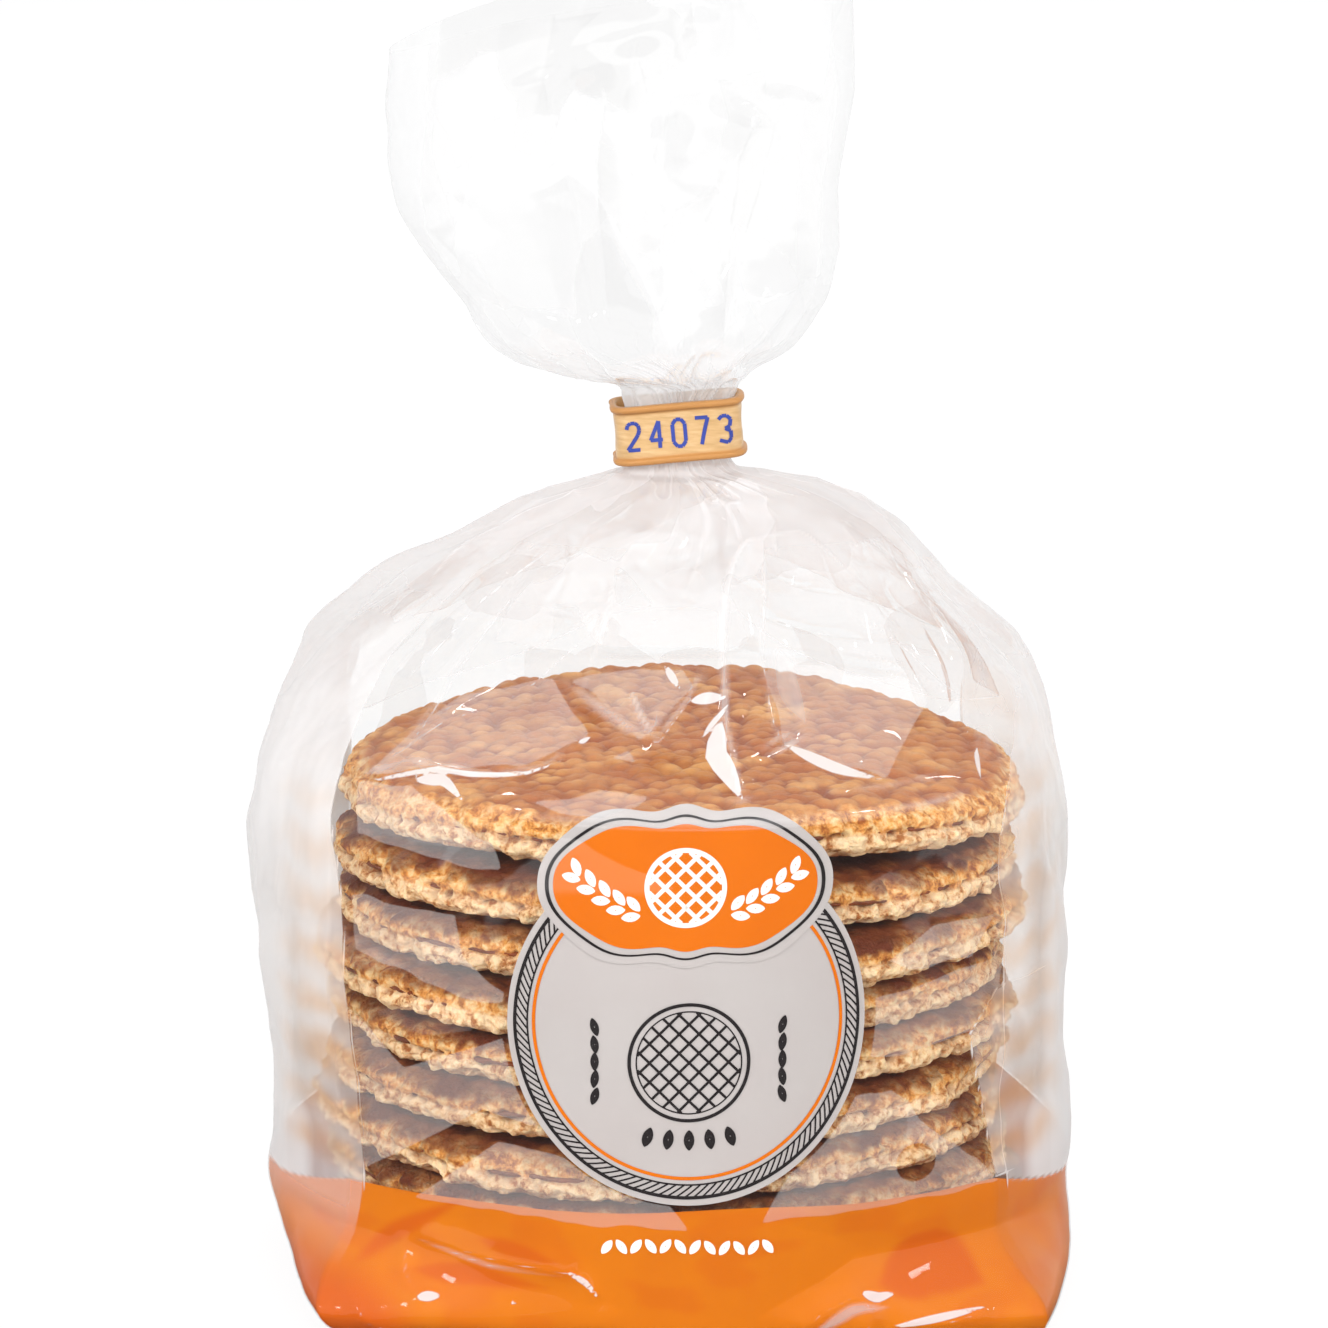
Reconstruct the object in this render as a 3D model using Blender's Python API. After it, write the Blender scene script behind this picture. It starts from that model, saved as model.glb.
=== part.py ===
"""Clear film bag of caramel wafers, standing on its block bottom and closed at the neck with a clip strip.

Sizes below are in millimetres. X runs across the front panel, -Y is the front, +Z is up, and the origin is
the middle of the base. The bag is one closed solid with the film's true outer form; the strip is a loose loop
round its neck.
"""

import math

import bmesh
import bpy
import numpy as np

MM = 0.001

# One row for each height of the bag: height, left ridge, right ridge, half depth, fold height.
# The ridges are the middles of the two side gussets. A fold height is a share of the radius.
BAG_SECTIONS = np.array(
    [
        (0.0, -54.6, 55.0, 46.4, 0.000),
        (0.7, -56.8, 57.2, 48.8, 0.000),
        (2.6, -58.2, 58.6, 50.2, 0.000),
        (10.0, -57.8, 58.6, 51.0, 0.000),
        (20.0, -57.4, 59.8, 51.6, 0.000),
        (30.0, -57.6, 58.9, 51.8, 0.000),
        (44.0, -59.2, 58.9, 51.8, 0.000),
        (58.0, -59.9, 58.7, 51.8, 0.000),
        (70.0, -59.0, 57.6, 51.6, 0.000),
        (77.0, -58.2, 56.8, 50.6, 0.002),
        (84.0, -55.6, 54.9, 46.4, 0.006),
        (90.0, -52.6, 52.8, 41.4, 0.012),
        (96.0, -46.0, 48.2, 35.6, 0.020),
        (101.0, -38.8, 43.0, 29.8, 0.028),
        (106.0, -30.2, 36.6, 23.2, 0.036),
        (110.0, -22.4, 31.6, 17.6, 0.042),
        (113.6, -14.6, 24.6, 12.2, 0.046),
        (116.0, -8.8, 16.2, 7.6, 0.034),
        (117.4, -6.1, 10.4, 4.2, 0.016),
        (127.2, -6.1, 10.4, 3.5, 0.016),
        (129.2, -7.0, 11.0, 5.0, 0.040),
        (131.0, -15.4, 12.6, 9.6, 0.060),
        (134.6, -23.2, 18.4, 14.0, 0.066),
        (142.0, -30.6, 23.2, 17.0, 0.070),
        (151.0, -37.0, 25.2, 18.6, 0.076),
        (161.0, -39.6, 25.6, 19.4, 0.084),
        (173.0, -39.0, 27.2, 19.6, 0.092),
        (187.0, -36.0, 26.4, 18.4, 0.100),
    ]
)
PANEL_POINTS = 26  # steps along each of the four panels of one section
CREASE_ACROSS = 0.79  # where a panel's crease stands, as a share of the half width
CREASE_DEEP = 0.64  # and as a share of the half depth
FOLDS = 9  # folds radiating from the neck
FOLD_TURN = 0.6  # radians that turn the folds away from the seams
RIM_PEAK = 8.0  # across position of the mouth's highest point
RIM_DROP = 0.0044  # how fast the mouth falls away from it, per millimetre
FLARE_START = 129.0
FLARE_TOP = 187.0
MOUTH_SINK = 5.0  # depth of the dish that closes the mouth

# Clip strip: a folded band pressed to a flattened loop, with a thick bead along both edges.
STRIP_HALF_WIDTH = 9.2
STRIP_HALF_DEPTH = 5.0
STRIP_SQUARENESS = 3.2  # exponent of the loop's superellipse
STRIP_HEIGHT = 8.6
STRIP_WALL = 0.5
BEAD_RADIUS = 0.65
STRIP_CENTRE = (2.1, 0.0, 122.2)
STRIP_TILT = math.radians(5.0)
LOOP_POINTS = 72
BEAD_POINTS = 6


def clear_scene():
    for obj in list(bpy.data.objects):
        bpy.data.objects.remove(obj, do_unlink=True)


def principled(name, colour, roughness, alpha=1.0):
    """A Principled material with its colour in linear values."""
    material = bpy.data.materials.new(name)
    material.use_nodes = True
    shader = material.node_tree.nodes["Principled BSDF"]
    shader.inputs["Base Color"].default_value = (*colour, 1.0)
    shader.inputs["Roughness"].default_value = roughness
    shader.inputs["Metallic"].default_value = 0.0
    shader.inputs["Alpha"].default_value = alpha
    return material


def panel_section(left, right, half_depth, fold):
    """One section, anticlockwise from above: four panels between creases, each bowed out by a parabola."""
    centre = 0.5 * (left + right)
    half_width = 0.5 * (right - left)
    crease_x = CREASE_ACROSS * half_width
    crease_y = CREASE_DEEP * half_depth
    along = np.linspace(-1.0, 1.0, PANEL_POINTS, endpoint=False)
    bow = 1.0 - along**2
    front = np.stack([along * crease_x, -crease_y - (half_depth - crease_y) * bow], axis=1)
    side = np.stack([crease_x + (half_width - crease_x) * bow, along * crease_y], axis=1)
    points = np.concatenate([front, side, -front, -side])
    angle = np.arctan2(points[:, 1], points[:, 0])
    folds = 1.0 + fold * (np.cos(FOLDS * (angle + FOLD_TURN)) - 1.0)
    points *= folds[:, None]
    points[:, 0] += centre
    return points


def bag_rings():
    """The bag's sections as rings of points. Above the neck each ring dips away from the mouth's peak."""
    rings = []
    for height, left, right, half_depth, fold in BAG_SECTIONS:
        section = panel_section(left, right, half_depth, fold)
        rise = max(0.0, (height - FLARE_START) / (FLARE_TOP - FLARE_START))
        drop = rise**2 * RIM_DROP * (section[:, 0] - RIM_PEAK) ** 2
        rings.append(np.column_stack([section, height - drop]))
    return rings


def mouth_rings(rim):
    """Smaller rings that close the mouth with a shallow dish."""
    centre = rim.mean(axis=0)
    rings = []
    for share in (0.86, 0.6, 0.3):
        ring = centre + share * (rim - centre)
        ring[:, 2] = centre[2] + share * (rim[:, 2] - centre[2]) - MOUTH_SINK * (1.0 - share**2)
        rings.append(ring)
    return rings


def loft(name, rings, closed_loft):
    """Joins rings of equal length with quads, and closes the ends with a face, or on each other."""
    mesh = bmesh.new()
    loops = [[mesh.verts.new(point * MM) for point in ring] for ring in rings]
    pairs = list(zip(loops, loops[1:]))
    if closed_loft:
        pairs.append((loops[-1], loops[0]))
    else:
        mesh.faces.new(reversed(loops[0]))
        mesh.faces.new(loops[-1])
    for lower, upper in pairs:
        for i in range(len(lower)):
            j = (i + 1) % len(lower)
            mesh.faces.new((lower[i], lower[j], upper[j], upper[i]))
    bmesh.ops.recalc_face_normals(mesh, faces=mesh.faces)
    data = bpy.data.meshes.new(name)
    mesh.to_mesh(data)
    mesh.free()
    obj = bpy.data.objects.new(name, data)
    bpy.context.scene.collection.objects.link(obj)
    return obj


def strip_profile():
    """The strip's cut section: how far out from the inner wall, and how high, going round once."""
    half = 0.5 * STRIP_HEIGHT
    turns = np.linspace(-0.5 * math.pi, 0.5 * math.pi, BEAD_POINTS)
    out = STRIP_WALL + BEAD_RADIUS * np.cos(turns)
    lower = np.column_stack([out, -half + BEAD_RADIUS * (1.0 + np.sin(turns))])
    upper = np.column_stack([out, half - BEAD_RADIUS * (1.0 - np.sin(turns))])
    inner = np.array([(0.0, half), (0.0, 0.0), (0.0, -half)])
    return np.concatenate([lower, upper, inner])


def superellipse(half_width, half_depth, turn):
    power = 2.0 / STRIP_SQUARENESS
    x = half_width * np.sign(np.cos(turn)) * np.abs(np.cos(turn)) ** power
    y = half_depth * np.sign(np.sin(turn)) * np.abs(np.sin(turn)) ** power
    return x, y


def build_strip():
    """The strip's section carried round a superellipse, growing outwards from its inner wall."""
    turn = np.linspace(0.0, 2.0 * math.pi, LOOP_POINTS, endpoint=False)
    inner_width = STRIP_HALF_WIDTH - STRIP_WALL
    inner_depth = STRIP_HALF_DEPTH - STRIP_WALL
    rings = []
    for out, height in strip_profile():
        x, y = superellipse(inner_width + out, inner_depth + out, turn)
        rings.append(np.column_stack([x, y, np.full(LOOP_POINTS, height)]))
    strip = loft("closure_strip", rings, closed_loft=True)
    strip.location = [value * MM for value in STRIP_CENTRE]
    strip.rotation_euler = (0.0, -STRIP_TILT, 0.0)
    strip.data.materials.append(principled("closure_paper", (0.86, 0.55, 0.24), 0.5))


def build_bag():
    rings = bag_rings()
    bag = loft("bag", rings + mouth_rings(rings[-1]), closed_loft=False)
    bag.data.materials.append(principled("clear_film", (0.82, 0.72, 0.62), 0.12, alpha=0.5))


def main():
    clear_scene()
    build_bag()
    build_strip()


main()
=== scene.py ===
"""Clear film bag of caramel wafers: the wafers, caramel, film, print, clip strip and stage.

Lengths inside the functions are in millimetres and become metres when a mesh is made. X runs across
the front panel, -Y is the front, +Z is up, and the bag stands on the floor at the origin.
"""

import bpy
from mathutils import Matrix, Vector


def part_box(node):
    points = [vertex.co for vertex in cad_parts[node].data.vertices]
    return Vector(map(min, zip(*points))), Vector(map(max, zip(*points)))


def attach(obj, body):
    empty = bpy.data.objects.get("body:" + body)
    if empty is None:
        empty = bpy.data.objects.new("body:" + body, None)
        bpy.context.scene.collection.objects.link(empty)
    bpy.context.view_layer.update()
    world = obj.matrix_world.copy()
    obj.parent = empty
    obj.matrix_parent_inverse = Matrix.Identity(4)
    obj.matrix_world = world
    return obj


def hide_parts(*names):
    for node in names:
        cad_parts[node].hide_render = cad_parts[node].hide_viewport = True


bl_info = {
    "name": "Bag of Caramel Wafers",
    "version": (1, 0, 0),
    "blender": (4, 5, 0),
    "location": "3D View > Sidebar > Wafers",
    "description": "Builds a clear bag of round caramel wafers with its print, clip strip and a plain studio",
    "category": "Add Mesh",
}

import math

import bpy
import numpy as np
from bpy.props import FloatProperty, FloatVectorProperty, IntProperty, PointerProperty

MM = 0.001
TAU = 2.0 * math.pi

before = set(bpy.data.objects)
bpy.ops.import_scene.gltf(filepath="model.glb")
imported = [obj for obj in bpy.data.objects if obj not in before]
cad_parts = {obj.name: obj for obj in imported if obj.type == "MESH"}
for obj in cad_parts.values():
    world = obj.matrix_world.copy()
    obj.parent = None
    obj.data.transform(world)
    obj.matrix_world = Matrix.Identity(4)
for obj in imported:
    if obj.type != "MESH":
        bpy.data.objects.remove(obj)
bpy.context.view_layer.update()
BAG_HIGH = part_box("bag")[1]
STRIP_LOW, STRIP_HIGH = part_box("closure_strip")
BAG_TOP = BAG_HIGH[2] / MM

# The bag's outer form: height, left ridge, right ridge, half depth. The ridges are the side gussets'
# middles.
BAG_SECTIONS = np.array(
    [
        (0.0, -50.4, 57.8, 46.4),
        (0.7, -51.8, 58.8, 48.8),
        (2.6, -53.8, 59.4, 50.2),
        (10.0, -57.6, 59.3, 51.0),
        (20.0, -57.4, 59.8, 51.6),
        (30.0, -57.6, 58.9, 51.8),
        (44.0, -59.2, 58.9, 51.8),
        (58.0, -59.9, 58.7, 51.8),
        (70.0, -59.0, 57.6, 51.6),
        (77.0, -58.2, 56.8, 50.6),
        (84.0, -55.6, 54.9, 46.4),
        (90.0, -52.6, 52.8, 41.4),
        (96.0, -46.0, 48.2, 35.6),
        (101.0, -38.8, 43.0, 29.8),
        (106.0, -30.2, 36.6, 23.2),
        (110.0, -22.4, 31.6, 17.6),
        (113.6, -14.6, 24.6, 12.2),
        (116.0, -8.8, 16.2, 7.6),
        (117.4, -6.1, 10.4, 4.2),
        (127.2, -6.1, 10.4, 3.5),
        (129.2, -7.0, 11.0, 5.0),
        (131.0, -15.4, 12.6, 9.6),
        (134.6, -24.2, 18.4, 14.0),
        (142.0, -30.6, 23.2, 17.0),
        (151.0, -37.0, 25.2, 18.6),
        (161.0, -40.4, 25.6, 19.4),
        (173.0, -40.2, 27.4, 19.6),
        (187.0, -39.0, 26.2, 18.4),
    ]
)
CREASE_ACROSS = 0.79  # where a panel's crease stands, as a share of the half width
CREASE_DEEP = 0.64  # and as a share of the half depth
SHOULDER_START = 77.0
NECK_LOW = 117.4
NECK_HIGH = 128.6
RIM_PEAK = 8.0  # across position of the mouth's highest point
RIM_DROP = 0.0044  # how fast the mouth falls away from it, per millimetre

# Height, and the tilt above level in degrees of the film's outward side there.
OUTWARD_TILT = np.array(
    [(0, 0), (74, 0), (88, 45), (110, 45), (117, 10), (128, -10), (133, -50), (148, -14), (187, 0)]
)

# A wafer's cut rim from its top face to its bottom face: distance in from the outline, height above the
# seam.
RIM_PROFILE = np.array(
    [
        (6.0, 3.30),
        (2.8, 3.00),
        (1.2, 2.40),
        (0.35, 1.55),
        (0.0, 0.75),
        (0.2, 0.10),
        (0.25, -0.15),
        (-0.1, -0.65),
        (-0.3, -1.40),
        (-0.1, -2.40),
        (0.6, -3.05),
        (3.2, -3.30),
    ]
)
RIM_HALF = 3.3
# Height of each wafer's underside: the lower ones are pressed together by those above.
WAFER_FLOORS = (0.7, 7.5, 14.5, 21.9, 29.4, 37.1, 44.4, 52.3, 60.7, 69.9)

# Long folds on the front of the shoulders: the crest's across and height, how high it stands, and its
# reach.
SHOULDER_FOLDS = (
    (((-14, 110), (-26, 102), (-40, 89)), 1.0, 4.0),
    (((-17.5, 107), (-27, 96.5), (-33, 88), (-39, 80.5)), -0.9, 3.0),
    (((-5, 104), (-20, 92.5), (-31, 88), (-43, 79.5)), 1.2, 5.0),
    (((-43, 79.5), (-34, 82.5), (-25.5, 82), (-17, 83.5), (-12.5, 86)), 0.8, 3.5),
    (((14, 110), (14, 94), (15, 89.5), (16.5, 86)), 1.3, 5.0),
    (((24, 98), (36.5, 91), (46, 82)), 1.3, 4.5),
    (((25, 102.5), (34, 96), (44, 88)), -0.9, 4.0),
    (((-5, 94), (-3, 89.5), (-1, 87), (3.5, 92), (5, 95)), 0.8, 2.6),
    (((8, 92.5), (8.5, 88), (11, 79.5)), 0.7, 2.6),
)
# Folds on the front of the mouth.
MOUTH_FOLDS = (
    (((-14, 166), (-9, 160), (-3.5, 148), (3, 133)), 2.0, 7.0),
    (((-4, 182), (-1.5, 172), (-0.5, 161), (1, 136)), -1.6, 6.0),
    (((13, 172), (10, 164), (9, 149), (7.5, 134)), 2.0, 6.0),
    (((-34, 158), (-27, 151), (-14.5, 139.5), (-3, 132)), 1.2, 6.0),
    (((19, 174), (17.5, 168), (13.5, 153), (10, 136)), -1.4, 5.0),
)
# Folds on the front of the orange foot.
FOOT_FOLDS = (
    (((-37, 15), (-24, 13), (-12.5, 12), (-8.5, 8)), 0.5, 3.6),
    (((-37, 15), (-36.5, 9), (-33.5, 6.5)), 0.4, 2.4),
    (((31.5, 3.5), (39.5, 3.5), (46.5, 5)), 0.5, 3.6),
    (((18.5, 3.5), (23, 6.5), (28, 8.5)), 0.4, 3.0),
    (((28, 8.5), (29, 5.5), (28.5, 1.5)), 0.4, 2.4),
    (((-45.5, 9), (-42, 3), (-36, 1)), 0.5, 2.6),
)
# Corners of the flat facets on the front panel where a painted reflection of the softboxes turns the clear
# film slightly white.
PAINTED_REFLECTIONS = (
    ((-43, 79.5), (-32, 82.5), (-20, 83.5), (-10, 87.5), (-15, 95), (-28, 92), (-34, 87.5)),
    ((-13, 95), (-3.5, 87), (4, 93.5), (2.5, 95.5)),
    ((14, 95), (16.5, 86), (31, 80.5), (37, 90), (34, 93.5)),
    ((-43, 79), (-35.5, 79.5), (-24, 73), (-22.5, 69), (-32.5, 70), (-43, 72)),
    ((-18.5, 79.5), (-8.5, 81), (-2, 80), (-7.5, 77), (-15, 78)),
    ((-7.5, 85), (-5, 86), (-3.5, 84)),
    ((-43.5, 63.5), (-29, 62.5), (-28, 56.5), (-19.5, 50), (-29, 50.5), (-43.5, 55)),
    ((-43.5, 46.5), (-36, 40), (-19, 47), (-17, 33), (-25, 35), (-44, 21.5)),
    ((-35.5, 20), (-23, 30.5), (-15, 29.5), (0, 24), (4, 19)),
    ((31, 55.5), (38, 60), (47, 60), (43, 53.5), (34.5, 54)),
    ((27, 50), (48, 53.5), (47.5, 46.5), (43.5, 43), (35.5, 41.5), (27, 42)),
    ((14, 20), (22, 36), (32, 37), (38, 30.5), (48, 20)),
)
# Painted highlights: streaks along the folds painted almost white, as the softboxes' reflections in them: a
# middle line, and the half width at its middle.
GLINTS = (
    (((-43, 79), (-32, 82.5), (-25.5, 82), (-17.5, 83), (-11.5, 86)), 0.45),
    (((-35, 80.5), (-30.5, 81), (-27.5, 78)), 0.9),
    (((-12, 86.5), (-10, 87.5)), 0.4),
    (((3.5, 92), (9, 93)), 0.8),
    (((5, 87.5), (9.5, 92.5)), 0.4),
    (((8, 90), (7, 86), (9, 83), (11, 79.5)), 1.6),
    (((16.5, 86), (23.5, 83), (31, 80.5)), 0.75),
    (((43.5, 84), (44.5, 78)), 0.4),
    (((0, 96), (2.5, 93)), 0.6),
    (((-14, 12.5), (-11, 11), (-8.5, 8)), 0.5),
    (((-35, 7), (-31, 7.5)), 0.7),
    (((-21.5, 7.5), (-20.5, 7)), 0.4),
    (((27.5, 8.5), (30, 7.5), (33, 8)), 0.7),
    (((31.5, 3.5), (39.5, 4.5), (46.5, 5.5)), 0.6),
)
# Painted highlights: wider streaks of white that fade at their edges.
GLOWS = (
    (((-42.5, 79.5), (-34, 86), (-23, 94)), 1.2),
    (((-33, 83.5), (-25.5, 92)), 0.8),
    (((-14, 94.5), (-3.5, 88), (4, 93)), 1.3),
    (((15.5, 98), (17.5, 92), (21, 86)), 2.4),
    (((20.5, 88.5), (25, 85), (31, 81)), 0.9),
)
# Painted sheens: paler streaks on the front of the foot that stand for reflections. Then painted shade: the
# places where the foot's folds and dents are drawn in deeper orange.
FOOT_SHEENS = (
    (((-36.5, 14.5), (-24, 12), (-12, 11.5)), 0.7),
    (((20.5, 3), (27, 6.5), (33, 6)), 1.3),
    (((-36.5, 14), (-36.5, 9.5), (-33.5, 6.5)), 0.5),
)
FOOT_SHADES = (
    (((-44, 9.5), (-38, 14.5), (-28, 21)), 1.4),
    (((-26, 15.5), (-20, 14.5), (-14, 13)), 1.4),
    (((-36, 10), (-26, 10.5), (-16.5, 9.5)), 1.7),
    (((30, 9), (37.5, 11.5), (45.5, 7.5)), 4.5),
)
# Where the right-hand gusset's film laps forward over the front panel.
GUSSET_LAP = ((47, 48.5), (43, 42.5), (47, 21), (60, 20), (60, 49))


# ---------------------------------------------------------------- colours, nodes and meshes


def linear(code):
    """An sRGB hex colour as linear red, green, blue and alpha."""
    channels = [int(code[i : i + 2], 16) / 255.0 for i in (1, 3, 5)]
    curve = [c / 12.92 if c <= 0.04045 else ((c + 0.055) / 1.055) ** 2.4 for c in channels]
    return (*curve, 1.0)


WHITE = (1.0, 1.0, 1.0, 1.0)


def add_node(tree, kind, inputs=None, stops=None, **settings):
    """Adds a node. inputs gives each socket a value or a socket to link from; stops are a ramp's
    colours."""
    node = tree.nodes.new(kind)
    for name, value in settings.items():
        setattr(node, name, value)
    for key, value in (inputs or {}).items():
        if isinstance(value, bpy.types.NodeSocket):
            tree.links.new(value, node.inputs[key])
        else:
            node.inputs[key].default_value = value
    if stops:
        ramp = node.color_ramp
        while len(ramp.elements) < len(stops):
            ramp.elements.new(1.0)
        for element, (position, colour) in zip(ramp.elements, stops):
            element.position = position
            element.color = colour
    return node


def new_material(name):
    """An empty material, with its tree and its output node."""
    material = bpy.data.materials.new(name)
    material.use_nodes = True
    tree = material.node_tree
    tree.nodes.clear()
    output = tree.nodes.new("ShaderNodeOutputMaterial")
    return material, tree, output


def build_mesh(name, points, faces, material, values=None, normals=None):
    """A smooth mesh from points in millimetres. faces lists arrays of quads or triangles; values gives
    float attributes; normals, where given, holds one direction for each point."""
    mesh = bpy.data.meshes.new(name)
    loops = np.concatenate([part.ravel() for part in faces]).astype(np.int32)
    sizes = np.concatenate([np.full(len(part), part.shape[1]) for part in faces])
    starts = np.concatenate([[0], np.cumsum(sizes)[:-1]]).astype(np.int32)
    mesh.vertices.add(len(points))
    mesh.vertices.foreach_set("co", (points * MM).astype(np.float32).ravel())
    mesh.loops.add(len(loops))
    mesh.loops.foreach_set("vertex_index", loops)
    mesh.polygons.add(len(starts))
    mesh.polygons.foreach_set("loop_start", starts)
    mesh.update(calc_edges=True)
    for key, data in (values or {}).items():
        attribute = mesh.attributes.new(key, "FLOAT", "POINT")
        attribute.data.foreach_set("value", data.astype(np.float32).ravel())
    mesh.polygons.foreach_set("use_smooth", np.full(len(starts), True))
    if normals is not None:
        mesh.normals_split_custom_set_from_vertices(normals.reshape(-1, 3))
    obj = bpy.data.objects.new(name, mesh)
    bpy.context.scene.collection.objects.link(obj)
    obj.data.materials.append(material)
    return obj


def grid_faces(rows, columns, wrap=True, first=0):
    """Quads of a grid whose rows follow each other; wrap joins its last column to its first."""
    index = np.arange(rows * columns).reshape(rows, columns) + first
    right = np.roll(index, -1, axis=1)
    if not wrap:
        index, right = index[:, :-1], right[:, :-1]
    quads = np.stack([index[:-1], right[:-1], right[1:], index[1:]], axis=-1)
    return quads.reshape(-1, 4)


def fan_faces(centre, first, columns, turned):
    """Triangles from one point to a closed row of points; turned winds them the other way."""
    index = np.arange(columns) + first
    after = np.roll(index, -1)
    pair = (after, index) if turned else (index, after)
    return np.stack([np.full(columns, centre), *pair], axis=-1)


def settle(piece, node):
    """Puts a finished piece on the one body, and hides the CAD node that it stands for."""
    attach(piece, "root")
    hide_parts(node)


# ---------------------------------------------------------------- noise and outlines


def scatter(index, seed):
    """A repeatable number from 0 to 1 for each whole lattice point."""
    mask = 0xFFFFFFFF
    mixed = index[..., 0] * 374761393 + index[..., 1] * 668265263 + index[..., 2] * 1442695041
    mixed = (mixed + seed * 974634777) & mask
    mixed = ((mixed ^ (mixed >> 13)) * 1274126177) & mask
    mixed = ((mixed ^ (mixed >> 15)) * 2246822519) & mask
    return ((mixed ^ (mixed >> 16)) & 0xFFFFFF) / 0xFFFFFF


def soft_noise(points, cell, seed):
    """Smooth noise from -1 to 1: random values at the corners of a cubic lattice, eased between them."""
    scaled = points / cell
    base = np.floor(scaled).astype(np.int64)
    part = scaled - base
    eased = part**3 * (part * (6.0 * part - 15.0) + 10.0)
    total = np.zeros(points.shape[:-1])
    for corner in np.ndindex(2, 2, 2):
        step = np.array(corner)
        weight = np.prod(np.where(step, eased, 1.0 - eased), axis=-1)
        total += weight * scatter(base + step, seed)
    return 2.0 * total - 1.0


def layered_noise(points, cell, seed, layers, gain=0.5):
    """Smooth noise added to itself at half the cell and a smaller height each time."""
    total = np.zeros(points.shape[:-1])
    for layer in range(layers):
        total += gain**layer * soft_noise(points, cell / 2**layer, seed + layer)
    return total


def cell_noise(points, cell, seed):
    """Distance to the nearest of one random point in each lattice cell, as a share of the cell."""
    scaled = points / cell
    base = np.floor(scaled).astype(np.int64)
    nearest = np.full(points.shape[:-1], 9.0)
    for corner in np.ndindex(3, 3, 3):
        index = base + np.array(corner) - 1
        centre = index + np.stack([scatter(index, seed + k) for k in range(3)], axis=-1)
        nearest = np.minimum(nearest, np.linalg.norm(scaled - centre, axis=-1))
    return nearest


def ease(value, low, high):
    """0 below low, 1 above high, and a smooth rise between them."""
    share = np.clip((value - low) / (high - low), 0.0, 1.0)
    return share * share * (3.0 - 2.0 * share)


def triangle_wave(value):
    """From -1 to 1 and back in straight lines, once for each whole number."""
    return 4.0 * np.abs(value - np.floor(value + 0.5)) - 1.0


def line_distance(x, z, line):
    """Distance from each point to a line of straight stretches, and how far along it the nearest place
    is."""
    nearest = np.full(x.shape, 1e6)
    progress = np.zeros(x.shape)
    for k, ((ax, az), (bx, bz)) in enumerate(zip(line, line[1:])):
        dx, dz = bx - ax, bz - az
        share = np.clip(((x - ax) * dx + (z - az) * dz) / (dx * dx + dz * dz), 0.0, 1.0)
        distance = np.hypot(x - ax - share * dx, z - az - share * dz)
        progress = np.where(distance < nearest, (k + share) / (len(line) - 1), progress)
        nearest = np.minimum(nearest, distance)
    return nearest, progress


def streak(line, half_width, steps=9):
    """Outline of a streak. Its half width at each share of the middle line's length is the sine of half a
    turn times that share to the power 0.8. It is laid off square to the line on both sides."""
    line = np.asarray(line, float)
    lengths = np.concatenate([[0.0], np.cumsum(np.hypot(*np.diff(line, axis=0).T))])
    share = np.linspace(0.0, 1.0, steps)
    middle = np.stack([np.interp(share * lengths[-1], lengths, line[:, axis]) for axis in (0, 1)], axis=1)
    lead = np.gradient(middle, axis=0)
    across = np.column_stack([-lead[:, 1], lead[:, 0]]) / np.linalg.norm(lead, axis=1, keepdims=True)
    side = half_width * np.sin(math.pi * share**0.8)[:, None] * across
    return np.concatenate([middle + side, (middle - side)[-2:0:-1]])


def outline_depth(x, z, outline):
    """Distance to a closed outline, positive inside it and negative outside."""
    closed = (*outline, outline[0])
    distance, _ = line_distance(x, z, closed)
    within = np.zeros(x.shape, bool)
    for (ax, az), (bx, bz) in zip(closed, closed[1:]):
        crosses = (az > z) != (bz > z)
        within ^= crosses & (x < ax + (z - az) * (bx - ax) / (bz - az + 1e-9))
    return np.where(within, distance, -distance)


# ---------------------------------------------------------------- settings


class WaferSettings(bpy.types.PropertyGroup):
    diameter: FloatProperty(name="Diameter", description="Across one wafer", default=0.099, unit="LENGTH")
    thickness: FloatProperty(name="Thickness", description="One wafer", default=0.0066, unit="LENGTH")
    shift: FloatProperty(
        name="Shift", description="Stack's middle, to the right", default=0.003, unit="LENGTH"
    )
    dimple: FloatProperty(name="Dimple", description="Between iron marks", default=0.0028, unit="LENGTH")
    crust: FloatVectorProperty(
        name="Crust", description="Baked face", size=4, subtype="COLOR", default=linear("#C07D40")
    )
    golden: FloatVectorProperty(
        name="Golden edge", description="Edge of the upper half",
        size=4, subtype="COLOR", default=linear("#E8A251"),
    )
    crumb: FloatVectorProperty(
        name="Crumb", description="Cut edge of the lower half",
        size=4, subtype="COLOR", default=linear("#FCDDB0"),
    )
    caramel: FloatVectorProperty(
        name="Caramel", description="Syrup", size=4, subtype="COLOR", default=linear("#8A4216")
    )


class FilmSettings(bpy.types.PropertyGroup):
    columns: IntProperty(name="Columns", description="Grid steps round the film", default=600, min=40)
    body_rows: IntProperty(name="Body rows", description="Grid steps up the body", default=160, min=20)
    shoulder_rows: IntProperty(
        name="Shoulder rows", description="Steps up the shoulders", default=160, min=20
    )
    mouth_rows: IntProperty(name="Mouth rows", description="Grid steps up the mouth", default=140, min=20)
    facet: FloatProperty(name="Facets", description="Height of flat facets", default=0.0005, unit="LENGTH")
    pleat: FloatProperty(name="Pleats", description="Height of gathers", default=0.0015, unit="LENGTH")
    # Whiteness of the painted reflections on the film's flat facets.
    painted_reflection: FloatProperty(
        name="Veil", description="Whiteness of strained film", default=0.19, min=0.0, max=1.0
    )
    milk_and_sheen: FloatProperty(name="Milk", description="Whiteness of the gussets", default=1.0, min=0.0, max=1.0)


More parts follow.
